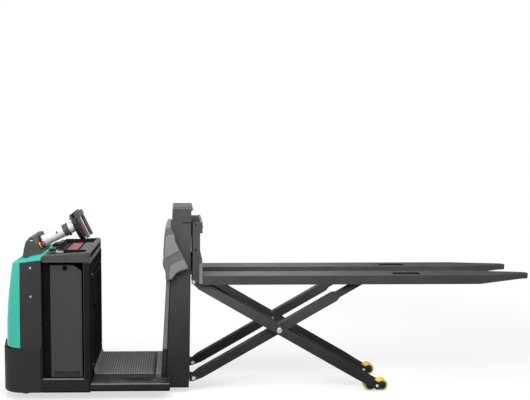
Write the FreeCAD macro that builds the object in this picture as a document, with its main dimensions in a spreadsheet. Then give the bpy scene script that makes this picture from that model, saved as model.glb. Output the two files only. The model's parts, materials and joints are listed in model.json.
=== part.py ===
"""Order picker truck with raised scissor forks.

Millimetres, +Z up, +X towards the fork tips, floor at Z = 0, with the origin
under the middle of the truck. Every size is a cell of the sheet, and pieces
take their sizes and places from those cells by expressions.
"""
import FreeCAD, Part
import Sketcher
import os
import re

V = FreeCAD.Vector

# Driving dimensions: name, value in millimetres or degrees
SIZES = [
    # main lengths along the truck
    ("drive_length", 656), ("platform_length", 524), ("heel_offset", 258), ("fork_length", 2350),
    ("chassis_width", 800), ("sheet", 12),
    # bumper and skirts
    ("bumper_bottom", 60), ("bumper_top", 370), ("bumper_wall", 34),
    ("nose_corner", 150), ("bumper_toe", 62), ("skirt_top", 154),
    # front cover
    ("cover_inset", 22), ("cover_lean", 25), ("cover_shoulder", 915), ("cover_brow", 962),
    ("cover_side_top", 969), ("cover_crown", 1006), ("cover_corner", 128),
    # side panels and battery bay
    ("bay_top", 970), ("post_depth", 41),
    ("deck_top", 985),
    ("battery_inset", 30), ("battery_lower", 160), ("battery_headroom", 20), ("battery_gap", 16),
    ("battery_panel_thickness", 8), ("panel_notch_length", 54),
    ("panel_notch_height", 45), ("grip_hole", 32), ("grip_hole_drop", 20),
    # drive plate, motor, drive wheel and castors
    ("drive_plate_level", 300), ("motor_width", 190), ("motor_height", 250),
    ("drive_wheel_diameter", 230), ("drive_wheel_width", 75),
    ("turntable_diameter", 206), ("turntable_height", 22),
    ("castor_track", 450), ("castor_trail", 24), ("castor_wheel_diameter", 130),
    ("castor_wheel_width", 54), ("castor_plate_height", 18), ("running_gap", 6),
    ("fork_leg", 8), ("axle_diameter", 24), ("kingpin_diameter", 36), ("kingpin_end", 8),
    # console
    ("console_front_rise", 1025), ("console_top", 1041),
    ("console_lip", 26), ("tray_margin", 30), ("tray_floor", 1000), ("console_round", 12),
    ("console_corner", 34), ("hand_recess_depth", 28), ("hand_recess_height", 30),
    ("hump_width", 400), ("hump_top", 1117), ("hump_round", 46), ("hump_front", 60),
    ("hump_side_round", 22),
    # steering column and head
    ("column_angle", 26), ("column_diameter", 84), 
    ("column_base_level", 1063), ("column_run", 267),
    ("head_gap", 5), ("disc_diameter", 148), ("disc_thickness", 28), ("disc_drop", 46),
    ("bridge_width", 90), ("bridge_lap", 4), ("bridge_inner", 40), ("bridge_reach", 100),
    ("bridge_foot", 85), ("bridge_height", 86), ("bridge_shoulder", 67), ("bridge_bevel", 15),
    ("cross_bar", 36), ("grip_side", 96), ("grip_level", 66), ("grip_end", 117),
    ("grip_reach", 177), ("grip_diameter", 27),
    ("stop_diameter", 40), ("stop_height", 38), ("stop_cap", 18), ("stop_side", 112),
    ("stop_drop", 14), ("pod_side", 240), ("pod_setback", 83), ("pod_length", 46),
    ("pod_height", 34), ("pod_rise", 22), ("pod_width", 70),
    # platform
    ("ledge_top", 118), ("ledge_bottom", 78), ("platform_sheet", 14), ("sill_reach", 28),
    ("mat_width", 540), ("mat_top", 150), ("mat_end", 88), ("mat_front", 9),
    ("strip_start", 75), ("strip_end", 36),
    # mast
    ("tower_width", 500), ("tower_bottom", 39), ("tower_top", 1324), ("tower_depth", 166),
    ("tower_foot_rise", 106), ("tower_lean", 56), ("tower_rear_lean", 26), ("tower_cap", 60),
    ("rail_depth", 50), ("rail_width", 56), ("rail_wall", 8), ("rail_side", 150), ("guide_width", 30),
    ("guide_height", 80), ("guide_clearance", 5),
    # backrest and trim
    ("backrest_width", 560), ("backrest_top", 1200), ("backrest_foot", 26), ("backrest_lean", 8),
    ("wing_thickness", 14), ("wing_reach", 156), ("trim_top", 832), ("trim_depth", 24),
    ("spacer_height", 58), ("spacer_drop", 46),
    ("spacer_width", 420),
    # scissor lift
    ("lift_angle", 30), ("half_arm", 708), ("wheel_reach", 819), ("pivot_level", 100.5),
    ("pivot_offset", 195), ("fork_above_pivot", 46), ("arm_width", 60), ("arm_depth", 64),
    ("arm_end_depth", 38), ("arm_end_length", 245), ("track_roller_diameter", 42),
    ("lift_eye", 20), ("wheel_arm_eye", 14), ("eye_run", 60),
    ("plate_gap", 98), ("plate_thickness", 16), ("wheel_end_depth", 54),
    ("centre_pin", 36), ("wheel_pin", 20), ("foot_pin", 24), ("heel_pin", 20), ("pin_fit", 0.08),
    # load rollers
    ("load_roller_diameter", 82), ("load_roller_width", 72), ("load_roller_spacing", 88),
    ("axle_drop", 4), ("bogie_plate", 6), ("bogie_gap", 2.5), ("load_axle", 18),
    # forks
    ("fork_span", 560), ("fork_width", 185), ("fork_depth", 65), ("fork_plate", 8),
    ("fork_tip_height", 38), ("fork_taper", 378), ("tip_narrowing", 62), ("tip_corner", 20),
    ("tip_flat", 60), ("tip_solid_length", 90),
    ("slot_start", 1372), ("slot_length", 200), ("slot_width", 96),
    ("track_start", 1138), ("track_length", 240), ("track_play", 0.5), ("track_width", 52),
    ("heel_plate", 24), ("heel_slot", 142), ("heel_drop", 60), ("heel_height", 90),
    # carriage
    ("carriage_back", 188), ("carriage_cross", 12), ("carriage_bottom", 857),
    ("carriage_top", 1230), ("carriage_side", 16), ("carriage_side_y", 272),
    ("top_bar_height", 79), ("lug_thickness", 12),
    ("foot_lug", 8), ("foot_lug_gap", 3),
    ("bearing_play", 0.3),
]

# Places worked out from the sizes
PLACES = {
    "nose": "-(drive_length + platform_length + heel_offset + fork_length) / 2",
    "wall": "nose + drive_length",
    "mast": "wall + platform_length",
    "face": "mast + heel_offset",
    "tip": "face + fork_length",
    "half_width": "chassis_width / 2",
    "cover_nose": "nose + cover_inset",
    "cover_back": "wall - 0.734 * drive_length",
    "bay_front": "wall - 0.5076 * drive_length",
    "side_panel_length": "0.2226 * drive_length",
    "battery_length": "0.3293 * drive_length",
    "bulkhead_back": "bay_front - sheet",
    "battery_top": "bay_top - battery_headroom",
    "battery_width": "chassis_width - 2 * battery_inset",
    "fork_side": "(fork_span - fork_width) / 2",
    "pivot": "mast + pivot_offset",
    "centre_along": "pivot + half_arm * cos(lift_angle)",
    "centre_up": "pivot_level + half_arm * sin(lift_angle)",
    "lift": "pivot_level + 2 * half_arm * sin(lift_angle)",
    "fork_top": "lift + fork_above_pivot",
    "wheel_along": "centre_along + wheel_reach * cos(lift_angle)",
    "wheel_up": "centre_up - wheel_reach * sin(lift_angle)",
    "drive_along": "nose + 0.29 * drive_length",
    "castor_along": "nose + 0.305 * drive_length",
    "tower_back": "mast + tower_depth",
    "cover_top_start": "cover_nose + cover_lean + 44",
    "cover_slope": "(cover_crown - cover_brow) / (bay_front - cover_top_start)",
    "console_slope": "(console_top - console_front_rise) / (wall - 20 - bay_front - 24)",
    "column_base": "nose + 0.397 * drive_length",
    "hump_start": "nose + 0.24 * drive_length",
    "nose_bulge": "0.0915 * drive_length",
    "hump_back_level": "(cover_brow + (column_base + column_base_level * tan(column_angle)"
                       " - cover_top_start) * cover_slope) / (1 + cover_slope * tan(column_angle))",
    "track_thickness": "fork_above_pivot - fork_plate - track_roller_diameter / 2 - track_play",
    "drive_plate_front": "nose + bumper_wall + nose_bulge + nose_corner / 4 + 2",
    "drive_plate_width": "chassis_width - 2 * (bumper_wall + nose_corner / 5) - 4",
    "carriage_face": "mast + carriage_back",
    "head_low": "column_run + head_gap",
    "backrest_rise": "backrest_top - trim_top",
}

doc = FreeCAD.newDocument("order_picker_truck")
sheet = doc.addObject("Spreadsheet::Sheet", "Sizes")
for row, (name, value) in enumerate(SIZES, start=1):
    sheet.set("A%d" % row, name)
    sheet.set("B%d" % row, str(value))
    sheet.setAlias("B%d" % row, name)
doc.recompute()

ALIASES = {name for name, _ in SIZES}
NODES = {}


def bound(formula):
    """Write out a formula of size and place names as an expression on the sheet."""
    def word(match):
        name = match.group(0)
        if name in PLACES:
            return "(" + bound(PLACES[name]) + ")"
        return "Sizes." + name if name in ALIASES else name
    return re.sub(r"[a-z_]+", word, str(formula))


def number(formula):
    """Value of a formula in millimetres, or in degrees for an angle."""
    result = sheet.evalExpression(bound(formula))
    return float(getattr(result, "Value", result))


def place(item, x="0", y="0", z="0", axis=None, angle="0"):
    """Put a piece at a bound position, turned about one axis."""
    turn = FreeCAD.Rotation(V(*(axis or (0, 0, 1))), number(angle))
    item.Placement = FreeCAD.Placement(V(number(x), number(y), number(z)), turn)
    for letter, formula in (("x", x), ("y", y), ("z", z)):
        item.setExpression("Placement.Base." + letter, bound(formula))


def node(item, name):
    """Name a finished piece, which becomes one file."""
    item.Label = name
    NODES[name] = item
    return item


def sketch(body, plane, name, offset="0"):
    """Empty sketch on one of the body's own origin planes."""
    item = body.newObject("Sketcher::SketchObject", name)
    role = plane + "_Plane"
    item.AttachmentSupport = [([o for o in body.Origin.OriginFeatures if o.Role == role][0], "")]
    item.MapMode = "FlatFace"
    item.setExpression("AttachmentOffset.Base.z", bound(offset))
    return item


def pin_point(item, geometry, end, formula_u, formula_v):
    """Bind one sketch point to its two distances from the sketch's origin."""
    for kind, formula in (("DistanceX", formula_u), ("DistanceY", formula_v)):
        made = item.addConstraint(Sketcher.Constraint(kind, -1, 1, geometry, end, number(formula)))
        item.setExpression("Constraints[%d]" % made, bound(formula))


def polygon(item, points):
    """Closed outline of straight lines through bound points."""
    spots = [V(number(u), number(v), 0) for u, v in points]
    first = item.GeometryCount
    count = len(spots)
    for i in range(count):
        item.addGeometry(Part.LineSegment(spots[i], spots[(i + 1) % count]), False)
    for i in range(count):
        item.addConstraint(Sketcher.Constraint("Coincident", first + i, 2, first + (i + 1) % count, 1))
    for i, (u, v) in enumerate(points):
        pin_point(item, first + i, 1, u, v)


def circle(item, u, v, diameter):
    """Circle with a bound centre and diameter."""
    ring = Part.Circle(V(number(u), number(v), 0), V(0, 0, 1), number(diameter) / 2)
    made = item.addGeometry(ring, False)
    pin_point(item, made, 3, u, v)
    size = item.addConstraint(Sketcher.Constraint("Diameter", made, number(diameter)))
    item.setExpression("Constraints[%d]" % size, bound(diameter))


def new_body(name):
    return doc.addObject("PartDesign::Body", name)


def pad(body, plane, points, length, offset="0", both=True, circles=()):
    """Pad a polygon, and any circles in it, to both sides of a plane or to one."""
    outline = sketch(body, plane, "Outline", offset)
    if points:
        polygon(outline, points)
    for ring in circles:
        circle(outline, *ring)
    made = body.newObject("PartDesign::Pad", "Pad")
    made.Profile = outline
    made.SideType = "Symmetric" if both else "One side"
    made.setExpression("Length", bound(length))
    outline.Visibility = False
    doc.recompute()
    return made


def pocket(body, plane, points=(), circles=(), length=None, offset="0", both=True, up=False):
    """Cut a polygon or circles right through, or to a depth, and check that it cut."""
    before = body.Shape.Volume
    outline = sketch(body, plane, "Cut", offset)
    if points:
        polygon(outline, points)
    for ring in circles:
        circle(outline, *ring)
    made = body.newObject("PartDesign::Pocket", "Pocket")
    made.Profile = outline
    made.Reversed = up
    made.SideType = "Symmetric" if both else "One side"
    if length is None:
        made.Type = "ThroughAll"
    else:
        made.Type = "Length"
        made.setExpression("Length", bound(length))
    doc.recompute()
    if not body.Shape.Volume < before:
        raise ValueError("pocket cut nothing in " + body.Name)
    return made


def round_edges(body, radius, test):
    """Fillet the edges of the body that a test picks by their place."""
    names = ["Edge%d" % (i + 1) for i, e in enumerate(body.Shape.Edges) if test(e)]
    if not names:
        raise ValueError("no edge to round in " + body.Name)
    base = body.Tip
    made = body.newObject("PartDesign::Fillet", "Fillet")
    made.Base = (base, names)
    made.setExpression("Radius", bound(radius))
    doc.recompute()
    return made


def octagon(across):
    """Regular outline of eight sides round the sketch's origin."""
    flat = "(%s) / 2" % across
    corner = "(%s) / 2 * tan(22.5)" % across
    return [(corner, "-(%s)" % flat), (flat, "-(%s)" % corner), (flat, corner), (corner, flat),
            ("-(%s)" % corner, flat), ("-(%s)" % flat, corner), ("-(%s)" % flat, "-(%s)" % corner),
            ("-(%s)" % corner, "-(%s)" % flat)]


def runs_along(edge, axis):
    """True for a straight edge parallel to an axis."""
    if edge.Curve.TypeId != "Part::GeomLine":
        return False
    return abs(getattr(edge.tangentAt(edge.FirstParameter), axis)) > 0.999


def revolve(body, plane, points, about):
    """Turn a closed outline round the sketch's own horizontal or vertical axis."""
    outline = sketch(body, plane, "Outline")
    polygon(outline, points)
    made = body.newObject("PartDesign::Revolution", "Revolution")
    made.Profile = outline
    made.ReferenceAxis = (outline, [about])
    made.Angle = 360
    doc.recompute()
    return made


def side_profile(name, points, width, y="0", x="0", z="0"):
    """Piece padded from an outline in the side view."""
    body = new_body(name)
    pad(body, "XZ", points, width)
    place(body, x, y, z)
    return node(body, name)


def plan_profile(name, points, height, z):
    """Piece padded upwards from an outline in the plan view."""
    body = new_body(name)
    pad(body, "XY", points, height, both=False)
    place(body, "0", "0", z)
    return node(body, name)


def wheel(name, diameter, width, bore, x, y, z):
    """Solid wheel, turned about a crosswise axle."""
    body = new_body(name)
    rim = "%s / 2" % diameter
    half = "%s / 2" % width
    points = [("-(%s)" % half, "(%s) / 2" % bore), (half, "(%s) / 2" % bore),
              (half, rim), ("-(%s)" % half, rim)]
    revolve(body, "YZ", points, "H_Axis")
    place(body, x, y, z)
    return node(body, name)


# Bumper and front cover
def nose_outline(front, side, back, bulge):
    return [(back, "-(%s)" % side), ("%s + %s" % (front, bulge), "-(%s)" % side),
            (front, "-(%s) / 5" % side), (front, "(%s) / 5" % side),
            ("%s + %s" % (front, bulge), side), (back, side)]


def make_bumper():
    back = "bulkhead_back"
    bumper = plan_profile("front_bumper", nose_outline("nose", "half_width", back, "nose_bulge"),
                          "bumper_top - bumper_bottom", "bumper_bottom")
    front = number("nose + nose_bulge") + 1
    round_edges(bumper, "nose_corner",
                lambda e: runs_along(e, "z") and e.BoundBox.XMax < front
                and abs(e.BoundBox.YMax) > number("half_width") - 1)
    pocket(bumper, "XZ",
           [("nose - 1", "bumper_bottom - 1"), ("nose + bumper_toe", "bumper_bottom - 1"),
            ("nose + bumper_toe", "bumper_bottom"),
            ("nose + 0.29 * bumper_toe", "bumper_bottom + 0.29 * bumper_toe"),
            ("nose", "bumper_bottom + bumper_toe"), ("nose - 1", "bumper_bottom + bumper_toe")])
    pocket(bumper, "XY",
           nose_outline("nose + bumper_wall", "half_width - bumper_wall - nose_corner / 5",
                        "%s + 1" % back, "nose_bulge + bumper_wall / 3"))


def make_cover_solid(name, inset, corner):
    """Cover as a solid: rounded plan outline, trimmed to the side view."""
    body = new_body(name)
    pad(body, "XY",
        nose_outline("cover_nose + %s" % inset, "half_width - %s" % inset, "bay_front",
                     "nose_bulge"),
        "cover_crown + cover_lean - bumper_top", offset="bumper_top", both=False)
    front = number("cover_nose + nose_bulge") + number(inset) + 1
    round_edges(body, corner,
                lambda e: runs_along(e, "z") and e.BoundBox.XMax < front
                and abs(e.BoundBox.YMax) > number("half_width") / 2)
    above = "cover_crown + 2 * cover_lean"
    pocket(body, "XZ",
           [("cover_nose - cover_lean", "bumper_top - 1"), ("cover_nose + %s" % inset, "bumper_top - 1"),
            ("cover_nose + cover_lean + %s" % inset, "cover_shoulder"),
            ("cover_nose + cover_lean + 14 + %s" % inset, "cover_brow - 10 - %s" % inset),
            ("cover_nose + cover_lean + 44", "cover_brow - %s" % inset),
            ("bay_front", "cover_crown - %s" % inset), ("bay_front", above),
            ("cover_nose - cover_lean", above)])
    pocket(body, "XZ",
           [("cover_back", "bumper_top - 1"), ("bay_front", "bumper_top - 1"),
            ("bay_front", "deck_top - %s" % inset), ("bulkhead_back - 6", "deck_top - %s" % inset),
            ("cover_back", "cover_side_top - %s" % inset)])
    return body


def make_cover():
    outer = make_cover_solid("CoverOuter", "0", "cover_corner")
    inner = make_cover_solid("CoverInner", "sheet", "cover_corner - sheet")
    shell = doc.addObject("Part::Cut", "front_cover")
    shell.Base = outer
    shell.Tool = inner
    return node(shell, "front_cover")


def make_housing():
    for side, sign in (("left", "-"), ("right", "")):
        side_profile("side_panel_" + side,
                     [("bay_front - side_panel_length", "bumper_top"), ("bay_front", "bumper_top"),
                      ("bay_front", "deck_top - 2"), ("bulkhead_back - 6", "deck_top - 2"),
                      ("bay_front - side_panel_length", "cover_side_top - 2")],
                     "sheet", y=sign + "(half_width - sheet / 2)")


def make_chassis_frame():
    """Welded frame: drive plate, bulkhead, battery floor, skirts and deck."""
    body = new_body("chassis_frame")
    pad(body, "XZ",
        [("bulkhead_back", "skirt_top - sheet"), ("wall - sheet", "skirt_top - sheet"),
         ("wall - sheet", "skirt_top"), ("bulkhead_back + sheet", "skirt_top"),
         ("bulkhead_back + sheet", "bay_top"), ("wall - sheet", "bay_top"),
         ("wall - sheet", "deck_top"), ("bay_front", "deck_top"),
         ("bay_front", "cover_crown - sheet"), ("bulkhead_back", "cover_crown - sheet - cover_slope * sheet")],
        "chassis_width - 2 * sheet")
    pad(body, "XZ",
        [("drive_plate_front", "drive_plate_level"), ("bulkhead_back", "drive_plate_level"),
         ("bulkhead_back", "drive_plate_level + sheet"),
         ("drive_plate_front", "drive_plate_level + sheet")], "drive_plate_width")
    for sign in ("-", ""):
        pad(body, "XZ",
            [("bulkhead_back", "bumper_bottom + 8"), ("wall - sheet", "bumper_bottom + 8"),
             ("wall - sheet", "skirt_top"), ("bulkhead_back", "skirt_top")],
            "bumper_wall", offset=sign + "(half_width - bumper_wall / 2)")
    node(body, "chassis_frame")


def make_rear_wall():
    body = new_body("rear_wall")
    pad(body, "XY",
        [("wall - sheet", "-half_width"), ("wall", "-half_width"),
         ("wall", "half_width"), ("wall - sheet", "half_width")],
        "deck_top - 26 - bumper_bottom - 8", offset="bumper_bottom + 8", both=False)
    for sign in ("-", ""):
        pad(body, "XZ",
            [("wall - post_depth", "skirt_top + 1"), ("wall - sheet", "skirt_top + 1"),
             ("wall - sheet", "bay_top"), ("wall - post_depth", "bay_top")],
            "bumper_wall", offset=sign + "(half_width - bumper_wall / 2)")
    node(body, "rear_wall")


def make_battery():
    front = "wall - post_depth - battery_gap - battery_length"
    back = "wall - post_depth - battery_gap"
    side_profile("battery_block",
                 [(front, "skirt_top"), (back, "skirt_top"),
                  (back, "battery_top - panel_notch_height"),
                  ("%s - panel_notch_length" % back, "battery_top"),
                  (front, "battery_top")], "battery_width")
    for side, sign in (("left", "-"), ("right", "")):
        panel = side_profile(
            "battery_panel_" + side,
            [(front, "battery_lower + 4"), (back, "battery_lower + 4"),
             (back, "battery_top - panel_notch_height"),
             ("%s - panel_notch_length" % back, "battery_top"),
             (front, "battery_top")],
            "battery_panel_thickness",
            y=sign + "(battery_width / 2 + battery_panel_thickness / 2)")
        pocket(panel, "XZ", circles=[("%s + battery_length / 2 - 6" % front,
                                      "battery_top - grip_hole_drop",
                                      "grip_hole")])


# Drive wheel and castors
def make_drive():
    motor = new_body("traction_motor")
    half = "motor_width / 2"
    pad(motor, "XY", [("-" + half, "-" + half), (half, "-" + half), (half, half), ("-" + half, half)],
        "motor_height", both=False)
    place(motor, "drive_along", "0", "drive_plate_level + sheet")
    node(motor, "traction_motor")
    fork = new_body("drive_fork")
    top = "drive_plate_level - turntable_height - bearing_play"
    pad(fork, "XY", octagon("turntable_diameter"), "turntable_height", offset=top, both=False)
    pad(fork, "XY", (), "turntable_height", offset=top + " - kingpin_end", both=False,
        circles=[("0", "0", "kingpin_diameter")])
    inner = "drive_wheel_width / 2 + running_gap"
    reach = "drive_wheel_diameter / 2 - 20"
    for sign in ("-", ""):
        pad(fork, "XZ",
            [("-60", "drive_wheel_diameter / 2 - 34"), ("60", "drive_wheel_diameter / 2 - 34"),
             (reach, top), ("-(%s)" % reach, top)],
            "2 * fork_leg", offset=sign + "(%s + fork_leg)" % inner)
    pad(fork, "XZ", (), "2 * (%s) + 2 * fork_leg" % inner,
        circles=[("0", "drive_wheel_diameter / 2", "axle_diameter")])
    place(fork, "drive_along")
    node(fork, "drive_fork")
    wheel("drive_wheel", "drive_wheel_diameter", "drive_wheel_width", "axle_diameter + 2 * pin_fit",
          "drive_along", "0", "drive_wheel_diameter / 2")


def make_castors():
    for side, sign in (("left", "-"), ("right", "")):
        across = sign + "castor_track / 2"
        fork = new_body("castor_fork_" + side)
        top = "drive_plate_level - castor_plate_height - bearing_play"
        pad(fork, "XY", octagon("castor_wheel_diameter - 30"), "castor_plate_height", offset=top,
            both=False)
        pad(fork, "XY", (), "castor_plate_height", offset=top + " - kingpin_end", both=False,
            circles=[("0", "0", "kingpin_diameter")])
        inner = "castor_wheel_width / 2 + running_gap"
        for leg in ("-", ""):
            pad(fork, "XZ",
                [("-castor_trail - 20", "castor_wheel_diameter / 2 - 20"),
                 ("20 - castor_trail", "castor_wheel_diameter / 2 - 20"),
                 ("24", "castor_wheel_diameter"), ("30", top),
                 ("-30", top), ("-42", "castor_wheel_diameter")],
                "fork_leg", offset=leg + "(%s + fork_leg / 2)" % inner)
        pad(fork, "XZ", (), "2 * (%s) + 2 * fork_leg" % inner,
            circles=[("-castor_trail", "castor_wheel_diameter / 2", "axle_diameter / 2 + 4")])
        place(fork, "castor_along", across)
        node(fork, "castor_fork_" + side)
        wheel("castor_wheel_" + side, "castor_wheel_diameter", "castor_wheel_width",
              "axle_diameter / 2 + 4 + 2 * pin_fit",
              "castor_along - castor_trail", across, "castor_wheel_diameter / 2")


# Console and steering
def make_console():
    console = side_profile(
        "console",
        [("bay_front", "deck_top"), ("wall - sheet", "deck_top"),
         ("wall - sheet", "deck_top - console_lip"), ("wall", "deck_top - console_lip"),
         ("wall", "console_top - 9"), ("wall - 20", "console_top"),
         ("bay_front + 24", "console_front_rise"), ("bay_front", "cover_crown")],
        "chassis_width")
    round_edges(console, "console_round",
                lambda e: e.BoundBox.YLength < 1 and e.BoundBox.ZMin > number("cover_crown") + 5
                and e.BoundBox.XLength > number("console_corner"))
    for sign in ("-", ""):
        pocket(console, "XY",
               [("wall - console_corner", sign + "(half_width + 1)"),
                ("wall - console_corner", sign + "half_width"),
                ("wall - console_corner / 3.4", sign + "(half_width - console_corner / 3.4)"),
                ("wall", sign + "(half_width - console_corner)"),
                ("wall + 1", sign + "(half_width - console_corner)"),
                ("wall + 1", sign + "(half_width + 1)")])
    pocket(console, "XY",
           [("bay_front + 2 * tray_margin", "tray_margin - half_width"),
            ("wall - tray_margin", "tray_margin - half_width"),
            ("wall - tray_margin", "half_width - tray_margin"),
            ("bay_front + 2 * tray_margin", "half_width - tray_margin")],
           offset="tray_floor", both=False, up=True)
    side = "(half_width - console_corner - tray_margin)"
    low = "deck_top + 4"
    pocket(console, "YZ",
           [("-" + side, low), (side, low), (side, low + " + hand_recess_height"),
            ("-" + side, low + " + hand_recess_height")],
           offset="wall - hand_recess_depth", both=False, up=True)


def make_hump():
    front = "hump_start"
    hump = side_profile(
        "console_hump",
        [(front, "cover_brow + (hump_start - cover_top_start) * cover_slope"),
         ("column_base + (column_base_level - hump_back_level) * tan(column_angle)",
          "hump_back_level"),
         ("column_base - (hump_top - column_base_level) * tan(column_angle)", "hump_top"),
         ("%s + hump_round" % front, "hump_top"),
         ("%s + 0.4 * hump_round" % front, "hump_top - 0.6 * hump_front"),
         ("%s + 0.15 * hump_round" % front, "hump_top - 1.4 * hump_front")], "hump_width")
    round_edges(hump, "hump_side_round",
                lambda e: e.BoundBox.ZMin > number("hump_top - 1.4 * hump_front") - 1
                and e.BoundBox.XMax < number(front) + number("hump_round") + 1
                and e.BoundBox.YLength < 1 and e.BoundBox.XLength > 1)


def along_column(distance, drop="0"):
    """Point on the column's axis, or below it, at a distance from its base."""
    x = "column_base + (%s) * cos(column_angle) + (%s) * sin(column_angle)"
    z = "column_base_level + (%s) * sin(column_angle) - (%s) * cos(column_angle)"
    return x % (distance, drop), z % (distance, drop)


def make_steering():
    column = new_body("steering_column")
    pad(column, "XY", (), "column_run", both=False, circles=[("0", "0", "column_diameter")])
    x, z = along_column("0")
    place(column, x, "0", z, axis=(0, 1, 0), angle="90 - column_angle")
    node(column, "steering_column")
    head = new_body("steering_head")
    pad(head, "XY", (), "disc_thickness", offset="head_low", both=False,
        circles=[("disc_drop", "0", "disc_diameter")])
    pad(head, "XY", (), "head_gap - pin_fit", offset="column_run + pin_fit", both=False,
        circles=[("0", "0", "column_diameter / 2")])
    top = "head_low + bridge_height"
    pad(head, "XZ",
        [("bridge_lap", "head_low"), ("bridge_lap", "head_low + disc_thickness"),
         ("-bridge_inner", "head_low + disc_thickness"), ("-bridge_inner", top + " - bridge_bevel"),
         ("-bridge_inner - bridge_bevel", top), ("-bridge_reach", "head_low + bridge_shoulder"),
         ("-bridge_foot", "head_low")], "bridge_width")
    low = "grip_level - cross_bar / 2"
    high = "grip_level + cross_bar / 2"
    pad(head, "XZ",
        [("-bridge_inner - 10", "head_low + " + low), ("-bridge_inner - 10", "head_low + " + high),
         ("-bridge_inner - 10 - cross_bar", "head_low + " + high),
         ("-bridge_inner - 10 - cross_bar", "head_low + " + low)],
        "2 * grip_side + grip_diameter")
    for sign in ("-", ""):
        pad(head, "YZ", (), "grip_reach", offset="grip_end - grip_reach / 2",
            circles=[(sign + "grip_side", "head_low + grip_level", "grip_diameter")])
    place(head, x, "0", z, axis=(0, 1, 0), angle="90 - column_angle")
    node(head, "steering_head")


def make_controls():
    stop = new_body("stop_button")
    stem = "(stop_diameter / 4)"
    pad(stop, "XY", [("-" + stem, "-" + stem), (stem, "-" + stem), (stem, stem), ("-" + stem, stem)],
        "stop_height - stop_cap", both=False)
    pad(stop, "XY", octagon("stop_diameter"), "stop_cap", offset="stop_height - stop_cap", both=False)
    x, z = along_column("0", "stop_drop")
    place(stop, x, "-stop_side", z, axis=(0, 1, 0), angle="90 - column_angle")
    node(stop, "stop_button")
    pod = new_body("display_pod")
    pad(pod, "XZ", [("0", "0"), ("pod_length", "0"), ("pod_length", "pod_rise"), ("0", "pod_height")],
        "pod_width")
    place(pod, "bay_front + pod_setback", "-pod_side", "tray_floor")
    node(pod, "display_pod")


# Platform
def make_platform():
    body = new_body("platform_frame")
    pad(body, "XY",
        [("wall", "-half_width"), ("mast + sill_reach", "-half_width"),
         ("mast + sill_reach", "-tower_width / 2"), ("mast", "-tower_width / 2"),
         ("mast", "tower_width / 2"), ("mast + sill_reach", "tower_width / 2"),
         ("mast + sill_reach", "half_width"), ("wall", "half_width")],
        "platform_sheet", offset="ledge_top - platform_sheet", both=False)
    for sign in ("-", ""):
        pad(body, "XZ",
            [("wall", "ledge_bottom"), ("mast + sill_reach", "ledge_bottom"),
             ("mast + sill_reach", "ledge_top"), ("wall", "ledge_top")],
            "platform_sheet", offset=sign + "(half_width - platform_sheet / 2)")
    node(body, "platform_frame")
    mat = new_body("platform_mat")
    pad(mat, "XZ",
        [("wall + mat_front", "ledge_top"), ("mast - mat_end", "ledge_top"),
         ("mast - mat_end", "mat_top"), ("wall + mat_front + 12", "mat_top"),
         ("wall + mat_front", "mat_top + 30")], "mat_width")
    node(mat, "platform_mat")
    side_profile("heel_strip",
                 [("mast - strip_start", "ledge_top"), ("mast - strip_end", "ledge_top"),
                  ("mast - strip_end", "mat_top"), ("mast - strip_start", "mat_top")],
                 "mat_width")


# Mast
def tower_left(level):
    """Place of the tower's operator side at a height."""
    return "mast + tower_lean * (%s - tower_bottom) / (tower_top - tower_bottom)" % level


def make_mast():
    tower = new_body("mast_tower")
    pad(tower, "XZ",
        [("mast", "tower_bottom"), ("tower_back - 6", "tower_bottom"),
         ("tower_back", "tower_bottom + tower_foot_rise"),
         ("tower_back + 13", "tower_top - 14"), ("tower_back + tower_rear_lean", "tower_top - 4"),
         ("tower_back + tower_rear_lean", "tower_top"), ("mast + tower_lean", "tower_top")],
        "tower_width")
    pocket(tower, "XZ",
           [("mast + sheet", "tower_bottom - 1"), ("tower_back - sheet", "tower_bottom - 1"),
            ("tower_back - sheet", "tower_top - tower_cap"),
            ("mast + tower_lean + sheet", "tower_top - tower_cap")],
           length="tower_width - 2 * sheet")
    for sign in ("-", ""):
        side = "%s rail_side" % (sign or "+")
        half = "(rail_width / 2 - rail_wall)"
        pocket(tower, "YZ",
               [("%s - %s" % (side, half), "tower_bottom + 45"), ("%s + %s" % (side, half), "tower_bottom + 45"),
                ("%s + %s" % (side, half), "tower_top - tower_cap - 20"),
                ("%s - %s" % (side, half), "tower_top - tower_cap - 20")],
               offset="tower_back - sheet - 1", both=False, up=True)
    node(tower, "mast_tower")
    for side, sign in (("left", "-"), ("right", "+")):
        rail = new_body("mast_rail_" + side)
        back = "tower_back - sheet"
        front = "%s - rail_depth" % back
        low = "%s rail_side - rail_width / 2" % sign
        high = "%s rail_side + rail_width / 2" % sign
        pad(rail, "XY",
            [(front, low), (back, low), (back, "%s + rail_wall" % low),
             ("%s + rail_wall" % front, "%s + rail_wall" % low),
             ("%s + rail_wall" % front, "%s - rail_wall" % high), (back, "%s - rail_wall" % high),
             (back, high), (front, high)],
            "tower_top - tower_cap - tower_bottom - 20", offset="tower_bottom + 20", both=False)
        node(rail, "mast_rail_" + side)


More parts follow.
